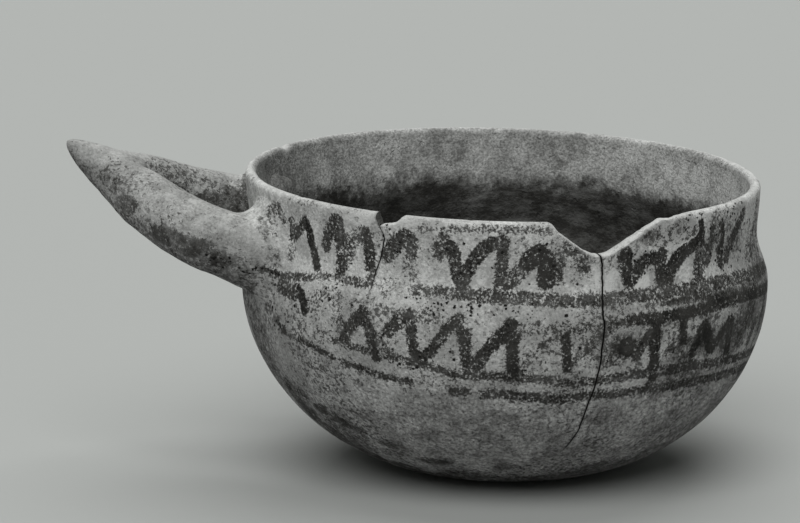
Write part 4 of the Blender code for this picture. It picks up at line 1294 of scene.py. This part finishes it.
# %% Finishes of the wall, the handle and the inside
def inner_grey(finish, grain):
    """Grey of the bare inner clay, dark below its wavering edge, which is partly stained and partly painted
    shade.
    """
    # The smudges carry painted shade on the handle's side, and the dusty places carry painted light on the
    # right.
    smudge_and_shade, dust_and_light = finish.carried("soil"), finish.carried("pale")
    clay = finish.blend(*INNER_CLAY_GREYS, grain["Mottle"]) * (grain["Grain"] * 0.8 + 0.6)
    clay = finish.blend(clay, INNER_DUST, finish.blotches(dust_and_light * 0.3 + 0.45, 380.0, 0.10) * 0.6)
    clay = finish.blend(clay, INNER_SMUDGE, finish.blotches(smudge_and_shade * 0.4 + 0.40, 230.0, 0.14) * 0.65)
    clay = clay * (smudge_and_shade * -0.22 + 1.0) * (dust_and_light * 0.3 + 1.0)
    # Low down the inner face turns dark: partly stained, partly painted shade
    waver = ((noise(finish.tree, finish.place, 24.0, 2.0) - 0.5) * (14 * MM)
             + (noise(finish.tree, finish.place, 210.0, 5.0, 0.75) - 0.5) * (20 * MM))
    low_stain_and_shade = (finish.height + waver + dust_and_light * (4 * MM)).ramp(*LOW_STAIN_AND_SHADE_EDGE)
    flattened = vector_maths(finish.tree, "MULTIPLY", finish.place, (0.75, 0.75, 1.6))
    streaky = noise(finish.tree, flattened, 120.0, 9.0, 0.82).ramp(0.42, 0.64)
    black = finish.blend(*LOW_STAIN_AND_SHADE_GREYS, streaky) * finish.clouds(26.0, 3.0, 0.6, 0.38, 0.62, 0.72, 1.25)
    return finish.blend(clay, black, low_stain_and_shade)


def painted_slip_material():
    """The wall and the sherd: slip and paint outside, bare clay inside."""
    finish = Finish("painted slip")
    outside, painted, grain = outer_slip(finish, finish.carried("scar").ramp(0.05, 0.2))
    inside, crack = finish.carried("inside"), finish.carried("crack")
    grey = finish.blend(outside, inner_grey(finish, grain), inside.ramp(0.5, 0.8))
    chalky = finish.blotches(0.72, 520.0, 0.2)
    edge = inside.ramp(0.02, 0.2) * inside.ramp(0.95, 0.7)
    grey = finish.blend(grey, CHALKY_EDGE, edge * chalky * 0.75)
    grey = finish.blend(grey, FRESH_BREAK, finish.carried("worn") * (chalky * 0.5 + 0.4))
    grey = finish.blend(grey, DIRTY_CRACK, crack.ramp(0.9, 0.1) * (grain["Mottle"] * 0.6 + 0.1))
    # The faces of an open crack are painted near black as shade.
    grey = finish.blend(grey, OPEN_CRACK_SHADE, crack.ramp(0.2, 0.06))
    finish.paint(grey, finish.blend(CLAY_ROUGHNESS, PAINT_ROUGHNESS, painted), grain["Height"])
    return finish.material


def handle_slip_material():
    """The handle: the same outer face, without scars."""
    finish = Finish("handle slip")
    outside, painted, grain = outer_slip(finish, 0.0)
    finish.paint(outside, finish.blend(CLAY_ROUGHNESS, PAINT_ROUGHNESS, painted), grain["Height"])
    return finish.material


def inner_clay_material():
    """The wads of clay inside: the same bare clay as the inner face, a little darker as painted shade."""
    finish = Finish("inner clay")
    grain = finish.effect(grain_tree, Mottles_per_metre=140.0, Pit_share=0.5)
    roughness = finish.blend(0.95, 0.88, grain["Grain"])
    finish.paint(inner_grey(finish, grain) * WAD_SHADE, roughness, grain["Height"], 0.28 * MM)
    return finish.material


painted_slip = painted_slip_material()
handle_slip = handle_slip_material()
inner_clay = inner_clay_material()
wall = make_main_wall(painted_slip)
sherd = make_sherd(painted_slip)
for piece, node_name in ((wall, "bowl_wall"), (sherd, "front_sherd")):
    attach(piece, "root")
    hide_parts(node_name)
bpy.data.objects.remove(section)

# %% [markdown]
# ## The handle's shape
# The handle is one roll of clay bent double. Its two ends were plugged through the wall, the roots were
# smoothed out over it, and the bend was pinched into a horn that rises to a point. Tubes are lofted along
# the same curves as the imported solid: two arms, which spread into the wall at their roots, the clay pressed
# in under each root, and the horn. Everything is worked out in the handle's own directions, which are
# outwards, sideways and up.

# %% Curves of the handle
HANDLE_ANGLE = math.radians(184.3)
HANDLE_SPREAD = 28.0 * MM
HANDLE_HEIGHT = RIM_HEIGHT - 16.6 * MM
HANDLE_STRAIGHT = NECK_RADIUS + 4.0 * MM
HANDLE_MEET = NECK_RADIUS + 46.1 * MM
HANDLE_REACH = NECK_RADIUS + 58.1 * MM
HANDLE_RISE = 27.6 * MM
HANDLE_ROLL = 0.036
HANDLE_CURVE = 1.45
ARM_ROOT_RADIUS = 10.3 * MM
ARM_RADIUS = 8.5 * MM
HORN_RADIUS = 8.4 * MM
HORN_LENGTH = 24.0 * MM
HORN_BACK = 5.0 * MM
HORN_COVER = 0.5 * MM
HORN_SHARPNESS = 0.55
TENON_RADIUS = 5.5 * MM
TENON_PROUD = 1.2 * MM
HEADING_STEP = 0.5 * MM
outward = Vector((math.cos(HANDLE_ANGLE), math.sin(HANDLE_ANGLE), 0))
sideways = Vector((outward.y, -outward.x, 0))


def handle_spot(reach, offset, height):
    """World point in the handle's own directions: outwards, sideways towards the back, and up."""
    return outward * reach + sideways * offset + Vector((0, 0, height))


def wall_reach(offset, height, depth):
    """Distance out along the handle where the wall's face lies, at an offset, height and depth."""
    aside = math.degrees(math.asin(offset / NECK_RADIUS))
    stretch = (lip_height(math.degrees(HANDLE_ANGLE) - aside) - BELLY_HEIGHT) / (RIM_HEIGHT - BELLY_HEIGHT)
    level = height if height < BELLY_HEIGHT else BELLY_HEIGHT + (height - BELLY_HEIGHT) / stretch
    radius = wall_radius(level) - depth
    slide = -LEAN * height
    across = offset - slide * outward.y
    return math.sqrt(radius ** 2 - across ** 2) + slide * outward.x


def arm_centre(reach, side):
    """Middle of an arm, as reach, offset and height."""
    drawn = min(max((reach - HANDLE_STRAIGHT) / (HANDLE_MEET - HANDLE_STRAIGHT), 0.0), 1.0)
    climb = max((reach - HANDLE_STRAIGHT) / (HANDLE_REACH - HANDLE_STRAIGHT), 0.0)
    offset = side * HANDLE_SPREAD * math.cos(0.5 * math.pi * drawn)
    return Vector((reach, offset, HANDLE_HEIGHT + HANDLE_ROLL * offset + HANDLE_RISE * climb ** HANDLE_CURVE))


def arm_heading(reach, side):
    """Direction in which an arm runs at a reach."""
    return (arm_centre(reach + HEADING_STEP, side) - arm_centre(reach - HEADING_STEP, side)).normalized()


def horn_back(reach):
    """Length along the horn from its tip back to a reach."""
    slope = HANDLE_CURVE * HANDLE_RISE / (HANDLE_REACH - HANDLE_STRAIGHT)
    return (HANDLE_REACH - reach) * math.hypot(1.0, slope)


def horn_radius(back):
    """Radius of the horn at a length back from its tip."""
    return HORN_RADIUS * (back / HORN_LENGTH) ** HORN_SHARPNESS


def arm_radius(reach):
    """Radius of an arm: thick at the root, and inside the horn's clay at its end."""
    share = (reach - HANDLE_STRAIGHT) / (HANDLE_MEET - HANDLE_STRAIGHT)
    plain = ARM_ROOT_RADIUS + (ARM_RADIUS - ARM_ROOT_RADIUS) * float(ease(share))
    return min(plain, horn_radius(horn_back(reach)) - HORN_COVER)


# %% [markdown]
# A root has to meet the wall all the way round, and the wall is curved. So the first rings of each arm are
# drawn on the wall's own face, at growing distances from the arm's middle, and lifted off it along a hollow
# quarter curve. The outermost ring lies just under the wall's skin, which leaves a soft edge and no gap.

# %% Rings of the arms and the horn
ARM_SIDES = 44
ARM_RINGS = 34
HORN_RINGS = 22
HORN_BACK_RINGS = 5
ROOT_SPREAD = 6.5 * MM              # how far the root runs out over the wall
ROOT_DROP = 4.0 * MM                # how much further it runs out below
ROOT_CLIMB = 9.0 * MM               # how far it runs along the arm
ROOT_STEPS = 9
ROOT_SINK = 0.8 * MM                # depth of its outermost ring under the wall's face
ROOT_EDGE_SINK = 0.3 * MM           # depth of the first ring of its hollow curve
UNDER_RINGS = 16                    # rings of the clay pressed in under a root
UNDER_RADIUS = 8.0 * MM
UNDER_LENGTH = 14.0 * MM            # how far it runs out along the arm
UNDER_DROP = 7.5 * MM               # how far below the arm it starts at the wall
UNDER_SINK = 1.5 * MM
UNDER_HOLLOW = 2.2                  # more makes its underside hollower
TIP_CROWDING = 1.6


def turns_round(sides):
    """Angles of the points of a ring."""
    return [2 * math.pi * index / sides for index in range(sides)]


def ring_round(centre, heading, radius):
    """Ring of points square to a heading, in handle directions."""
    level = Vector((-heading.y, heading.x, 0)).normalized()
    upright = heading.cross(level).normalized()
    return [centre + level * radius * math.cos(turn) + upright * radius * math.sin(turn)
            for turn in turns_round(ARM_SIDES)]


def seat_ring(side, radius, lift, depth, sides=ARM_SIDES):
    """Ring of points on the wall's face round an arm, lifted off it along the arm."""
    root = arm_centre(HANDLE_STRAIGHT, side)
    points = []
    for turn in turns_round(sides):
        reach_out = radius(turn) if callable(radius) else radius
        offset = root.y + reach_out * math.cos(turn)
        height = root.z + reach_out * math.sin(turn)
        reach = wall_reach(offset, height, depth) + lift
        along = arm_centre(reach, side)
        points.append(Vector((reach, offset + along.y - root.y, height + along.z - root.z)))
    return points


def uneven_spread(side):
    """How far a root runs out over the wall: furthest below, and nowhere quite evenly."""
    def spread(turn):
        below = max(0.0, -math.sin(turn)) ** 2
        uneven = 0.06 * math.sin(2 * turn + side) + 0.04 * math.sin(3 * turn + 2.0 * side)
        return ARM_ROOT_RADIUS + ROOT_SPREAD * (1 + uneven) + ROOT_DROP * below
    return spread


def arm_rings(side):
    """Rings of one arm with its tenon, from inside the bowl, out through the wall and up to the horn."""
    spread = uneven_spread(side)
    rings = [seat_ring(side, TENON_RADIUS, -TENON_PROUD, WALL_THICKNESS),
             seat_ring(side, TENON_RADIUS, -ROOT_SINK, 0.0), seat_ring(side, spread, -ROOT_SINK, 0.0)]
    for index in range(ROOT_STEPS + 1):
        turn = 0.5 * math.pi * index / ROOT_STEPS
        out = 1 - math.sin(turn)
        rings.append(seat_ring(side, lambda around, out=out: ARM_ROOT_RADIUS
                               + (spread(around) - ARM_ROOT_RADIUS) * out,
                               ROOT_CLIMB * (1 - math.cos(turn)) - ROOT_EDGE_SINK * out, 0.0))
    first = arm_centre(HANDLE_STRAIGHT, side).x + ROOT_CLIMB
    for index in range(ARM_RINGS + 1):
        reach = first + (HANDLE_MEET - first) * index / ARM_RINGS
        rings.append(ring_round(arm_centre(reach, side), arm_heading(reach, side), arm_radius(reach)))
    return rings


def under_root_rings(side):
    """Rings of the clay pressed in under a root, from just inside the wall's face out along the arm."""
    root = arm_centre(HANDLE_STRAIGHT, side)
    foot = wall_reach(root.y, root.z - UNDER_DROP, 0.0)
    rings = []
    for index in range(UNDER_RINGS + 1):
        lift = (UNDER_LENGTH + UNDER_SINK) * index / UNDER_RINGS - UNDER_SINK
        centre = arm_centre(foot + lift, side)
        drop = UNDER_DROP * (1 - max(lift, 0.0) / UNDER_LENGTH) ** UNDER_HOLLOW
        centre.z -= ARM_ROOT_RADIUS - UNDER_RADIUS + drop
        rings.append(ring_round(centre, arm_heading(foot + lift, side), UNDER_RADIUS))
    return rings


def horn_rings():
    """Rings of the horn, from its rounded back in the fork to its tip."""
    places = []
    for index in range(HORN_BACK_RINGS, 0, -1):
        turn = 0.5 * math.pi * index / (HORN_BACK_RINGS + 0.5)
        places.append((HORN_LENGTH + HORN_BACK * math.sin(turn), HORN_RADIUS * math.cos(turn)))
    for index in range(HORN_RINGS):
        back = HORN_LENGTH * (1 - index / HORN_RINGS) ** TIP_CROWDING
        places.append((back, horn_radius(back)))
    rings = []
    for back, radius in places:
        reach = HANDLE_REACH - back * (HANDLE_REACH - HANDLE_STRAIGHT) / horn_back(HANDLE_STRAIGHT)
        rings.append(ring_round(arm_centre(reach, 0), arm_heading(reach, 0), radius))
    return rings


def add_tube(shape, rings):
    """Closed tube over rings of points in handle directions."""
    loops = [[shape.verts.new(handle_spot(*point)) for point in ring] for ring in rings]
    for first, second in zip(loops, loops[1:]):
        for index, point in enumerate(first):
            after = (index + 1) % len(first)
            shape.faces.new((point, first[after], second[after], second[index]))
    for loop in (loops[0], loops[-1]):
        centre = shape.verts.new(sum((point.co for point in loop), Vector()) / len(loop))
        for first, second in zip(loop, loop[1:] + loop[:1]):
            shape.faces.new((first, second, centre))


def object_of(name, shape):
    """Object in the scene from a bmesh, with its faces outwards."""
    bmesh.ops.recalc_face_normals(shape, faces=shape.faces)
    mesh = bpy.data.meshes.new(name)
    shape.to_mesh(mesh)
    shape.free()
    return in_scene(name, mesh)


# %% [markdown]
# ## One skin over the handle
# Clay joins without a seam. The tubes cross each other, so a voxel remesh wraps one skin round them all, and
# a few rounds of smoothing turn the creases between them into the soft hollows that fingers leave. A second
# tree then gives the skin its dents and scrapes. It serves every piece of clay that has no drawn section.
# Near the wall the wall's own looks run on over the handle, found by following the sight lines, so paint and
# soil cross the join unbroken.

# %% Remesh, smooth and dent
ROOT_LOOKS_START = 5.0 * MM         # distance off the wall up to which its looks run on unchanged
ROOT_LOOKS_END = 10.0 * MM
PAINT_ENDS = 8.0                    # millimetres added to the paint's distance where they end
# Soil with painted shade under the arms and on the far arm's front, and bare slip with painted light on the
# arms' tops, on the handle: place on the arm's skin, its size in millimetres, and amount
HANDLE_SOIL_AND_SHADE = (
    ((-111, -31, 80), (8, 8, 5), 0.66), ((-103, -36, 77.5), (11, 8, 5), 0.88),
    ((-95, -40, 75), (11, 8, 5), 0.9), ((-87, -42, 71.5), (10, 8, 4.5), 0.82),
    ((-98, -38, 77), (6, 8, 2.5), 0.95), ((-130, -14, 94), (8, 7, 3), 0.55),
    ((-98, -40, 83), (16, 8, 5), 0.45), ((-119, -26, 91), (7, 9, 5), 0.66),
    ((-116, -27, 85.5), (8, 9, 5), 0.76), ((-124, -19, 92), (6, 9, 5), 0.62),
    ((-113, -26, 92), (12, 12, 7), 0.5), ((-104, -32, 86), (12, 10, 5), 0.45),
    ((-86, -38, 80), (18, 12, 12), 0.42), ((-104, -34, 89), (24, 12, 6), 0.3),
    ((-115, -1, 89), (7, 9, 4), 0.92), ((-106, 4, 84.5), (9, 9, 3.6), 0.96),
    ((-96, 9, 79.8), (11, 9, 4.6), 1.0), ((-86, 13, 78), (9, 11, 8), 1.0),
    ((-82, 17, 82), (3, 14, 8), 0.9), ((-81.6, 16, 88), (0.9, 14, 9), 0.8))
# Bare slip on the handle, partly painted light on the arms' tops
HANDLE_PALE_AND_LIGHT = (
    ((-106, -30, 95), (24, 10, 4), 0.5), ((-126, -10, 100), (12, 10, 5), 0.7),
    ((-92, -34, 89), (12, 8, 4), 0.7), ((-88, -38, 82), (10, 10, 5), 0.8),
    ((-79, -43, 75), (9, 10, 7), 0.75), ((-102, -33, 88), (11, 10, 4), 0.6),
    ((-134, 2, 104), (7, 9, 5), 0.8), ((-115, 10, 99), (14, 14, 7.5), 1.0),
    ((-101, 20, 95.5), (14, 14, 7.5), 1.0), ((-88, 27, 91), (14, 14, 8), 1.0))
HANDLE_CRUST = (
    ((-85, -43, 70.5), (6, 9, 2.2), 1.0), ((-79, -45, 69), (5, 9, 2), 1.0),
    ((-90, -42, 72), (4, 9, 1.6), 0.9))
UNDERSIDE_SOIL_AND_SHADE = 0.66             # amount of soil and painted shade where the skin faces down
LEVEL_SOIL_AND_SHADE = 0.50                   # how far up a skin may face and still catch some
DOWNWARD_SOIL_AND_SHADE = 0.45                # how far down it faces where it catches all
SKIN_VOXEL = 0.55 * MM
SKIN_ROUNDS = 8


def uneven_clay_tree():
    """Geometry Nodes tree that pushes a skin in and out along its normals."""
    tree, given, result = new_group(
        "uneven clay", "GeometryNodeTree",
        {"Skin": "Geometry", "Unevenness": 0.45 * MM, "Dents per metre": 75.0, "Scraping": 0.14 * MM,
         "Scrapes per metre": 330.0, "Seed": 5.0, "Clay": "Material"}, {"Skin": "Geometry"})
    place = put(tree, "GeometryNodeInputPosition").outputs[0]
    normal = put(tree, "GeometryNodeInputNormal").outputs[0]
    dents, scrapes = hand_marks(tree, given, place, 1.5)
    moved = put(tree, "GeometryNodeSetPosition",
                {"Geometry": given["Skin"], "Offset": vector_maths(tree, "SCALE", normal, dents + scrapes)})
    give(tree, result["Skin"], coated(tree, moved.outputs[0], given["Clay"]))
    return tree


def one_skin(piece):
    """Wraps one smoothed skin round crossing shapes."""
    remesh = piece.modifiers.new("one skin", "REMESH")
    remesh.mode = "VOXEL"
    remesh.voxel_size = SKIN_VOXEL
    smooth = piece.modifiers.new("soften", "SMOOTH")
    smooth.factor = 0.5
    smooth.iterations = SKIN_ROUNDS
    settle(piece)
    return piece


def add_looks(piece):
    """Writes soil and bare slip, with painted shade and light, and paint onto the handle. Near the wall they
    run on from the wall's own.
    """
    mesh = piece.data
    places, facing = np.empty((2, 3 * len(mesh.vertices)))
    mesh.vertices.foreach_get("co", places)
    mesh.vertex_normals.foreach_get("vector", facing)
    places = places.reshape(-1, 3)
    downward = -facing.reshape(-1, 3)[:, 2]
    away = off_wall(places)
    angle, height, missed = carried_to_wall(places)
    near = np.where(missed, 0.0, ease((ROOT_LOOKS_END - away) / (ROOT_LOOKS_END - ROOT_LOOKS_START)))
    paint, lasting = paint_fields(angle, height)
    looks = {"paint": paint + PAINT_ENDS * (1 - near), "lasting": lasting,
             "away": ease(away / ROOT_LOOKS_END)}
    for label, patches, own in (("soil", SOIL_AND_SHADE_PATCHES, HANDLE_SOIL_AND_SHADE), ("pale", PALE_PATCHES, HANDLE_PALE_AND_LIGHT),
                                ("crust", CRUST_PATCHES, HANDLE_CRUST)):
        looks[label] = near * soft_patches(angle, height, patches)
        for middle, size, most in own:
            reach = np.linalg.norm((places / MM - np.array(middle)) / np.array(size), axis=1)
            looks[label] = np.maximum(looks[label], most * ease(PATCH_FADE - reach))
    # Where the skin faces down it gets soil and painted shade.
    underside_soil_and_shade = UNDERSIDE_SOIL_AND_SHADE * ease((downward + LEVEL_SOIL_AND_SHADE) / (LEVEL_SOIL_AND_SHADE + DOWNWARD_SOIL_AND_SHADE))
    underside_soil_and_shade *= looks["away"]
    looks["soil"] = np.maximum(looks["soil"], underside_soil_and_shade)
    for label, amount in looks.items():
        mesh.attributes.new(label, "FLOAT", "POINT").data.foreach_set("value", amount.astype(np.float32))


clay_tree = uneven_clay_tree()
shape = bmesh.new()
for rings in (arm_rings(-1), arm_rings(1), under_root_rings(-1), under_root_rings(1), horn_rings()):
    add_tube(shape, rings)
handle = one_skin(object_of("handle_smoothed", shape))
apply_tree(handle, clay_tree, {"Clay": handle_slip})
add_looks(handle)
finish_mesh(handle)
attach(handle, "root")
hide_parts("wishbone_handle", "near_root_collar", "far_root_collar")

# %% [markdown]
# ## Wads over the tenons
# Inside the bowl each tenon's end was covered with a wad of clay, pressed flat with a thumb. Nothing of this
# shows in the photograph, but a bowl of this make has it. Each wad is a low dome on the wall's inner face,
# with an uneven outline that thins into the wall.

# %% Two wads of clay inside
PATCH_RADIUS = 12.0 * MM
PATCH_THICKNESS = 3.2 * MM
PATCH_SIDES = 72
PATCH_RINGS = 16
PATCH_SINK = 0.8 * MM
PATCH_FULLNESS = 2.6                # more makes the dome flatter on top


def wad(name, side):
    """Low dome of clay over a tenon's end."""
    def ring(share, lift):
        def outline(turn):
            uneven = 0.06 * math.sin(2 * turn + 1.5 * side) + 0.04 * math.sin(5 * turn - side)
            return share * (PATCH_RADIUS * (0.93 + uneven))
        return seat_ring(side, outline, lift, WALL_THICKNESS, PATCH_SIDES)

    rings = [ring(0.5, PATCH_SINK)]
    for index in range(PATCH_RINGS):
        share = 1 - index / PATCH_RINGS
        rise = PATCH_THICKNESS * (1 - share ** PATCH_FULLNESS) - PATCH_SINK * 0.5 * (index == 0)
        rings.append(ring(share, -rise))
    shape = bmesh.new()
    add_tube(shape, rings)
    made = object_of(name, shape)
    apply_tree(made, clay_tree, {"Unevenness": 0.5 * MM, "Dents per metre": 110.0, "Clay": inner_clay})
    return finish_mesh(made)


for name, side in (("near_wad", -1), ("far_wad", 1)):
    made = wad(name, side)
    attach(made, "root")
    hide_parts(name.replace("wad", "tenon_patch"))


# %% [markdown]
# ## Crumbs of soil
# The black spots between the painted bands are crumbs of hard soil that stand out from the wall. They are
# too many to place by hand and must sit on the surface, so Geometry Nodes scatter them: points on the faces,
# crowded where the wall carries more crust, and a small rough ball on each, sized and turned at random with
# a fixed seed. The instances are made real at the end.

# %% Scatter the crumbs
def random_value(tree, low, high, seed):
    """Random number or vector for each point."""
    vector = isinstance(low, tuple)
    slot = 0 if vector else 2
    made = put(tree, "FunctionNodeRandomValue", {slot: low, slot + 1: high, "Seed": seed},
               data_type="FLOAT_VECTOR" if vector else "FLOAT")
    return made.outputs[0 if vector else 1]


def crumbs_tree():
    """Geometry Nodes tree that scatters small rough balls over a surface by its crust number."""
    tree, given, result = new_group(
        "soil crumbs", "GeometryNodeTree",
        {"Surface": "Geometry", "Second surface": "Object", "Crumbs per square metre": 900000.0,
         "Clumps per metre": 170.0, "Smallest": 0.12 * MM, "Largest": 0.42 * MM, "Seed": 4,
         "Soil": "Material"}, {"Crumbs": "Geometry"})
    other = put(tree, "GeometryNodeObjectInfo", {"Object": given["Second surface"]})
    both = put(tree, "GeometryNodeJoinGeometry")
    for surface in (given["Surface"], other.outputs["Geometry"]):
        give(tree, both.inputs[0], surface)
    crust = Value(tree, point_number(tree, "crust"))
    clumps = put(tree, "ShaderNodeTexNoise", {"Scale": given["Clumps per metre"], "Detail": 2.0})
    crowding = crust * crust * Value(tree, clumps.outputs[0]).ramp(0.5, 0.62)
    spots = put(tree, "GeometryNodeDistributePointsOnFaces",
                {"Mesh": both.outputs[0], "Density": crowding * given["Crumbs per square metre"],
                 "Seed": given["Seed"]})
    ball = put(tree, "GeometryNodeMeshIcoSphere", {"Radius": 1.0, "Subdivisions": 2})
    size = random_value(tree, given["Smallest"], given["Largest"], given["Seed"])
    turn = random_value(tree, (0, 0, 0), (6.28, 6.28, 6.28), given["Seed"])
    squat = random_value(tree, (0.8, 0.55, 0.5), (1.5, 1.0, 0.9), given["Seed"])
    balls = put(tree, "GeometryNodeInstanceOnPoints",
                {"Points": spots.outputs["Points"], "Instance": ball.outputs[0], "Rotation": turn,
                 "Scale": vector_maths(tree, "SCALE", squat, size)})
    give(tree, result["Crumbs"], coated(tree, balls.outputs[0], given["Soil"]))
    return tree


def soil_material():
    """Hard dark soil."""
    finish = Finish("hard soil", 0.15)
    grain = finish.effect(grain_tree, Mottles_per_metre=420.0)
    roughness = finish.blend(0.9, 0.97, grain["Grain"])
    finish.paint(finish.blend(*CRUMB_GREYS, grain["Mottle"]), roughness, grain["Height"], 0.1 * MM)
    return finish.material


crumbs = in_scene("soil_crumbs", wall.data.copy())
apply_tree(crumbs, crumbs_tree(), {"Second surface": sherd, "Soil": soil_material()})
finish_mesh(crumbs)
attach(crumbs, "root")

# %% [markdown]
# ## Measure and finish
# The boxes of the imported model and of the fine pieces are both kept and printed, in millimetres. The
# fine pieces have to stay inside the imported model's box.

# %% Sizes of both models
size_record = {"cad": cad_box, "visual": [list(corner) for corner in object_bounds()]}
for label, box in size_record.items():
    print(f"box of the {label} model in mm:", [[round(value / MM, 1) for value in corner] for corner in box])
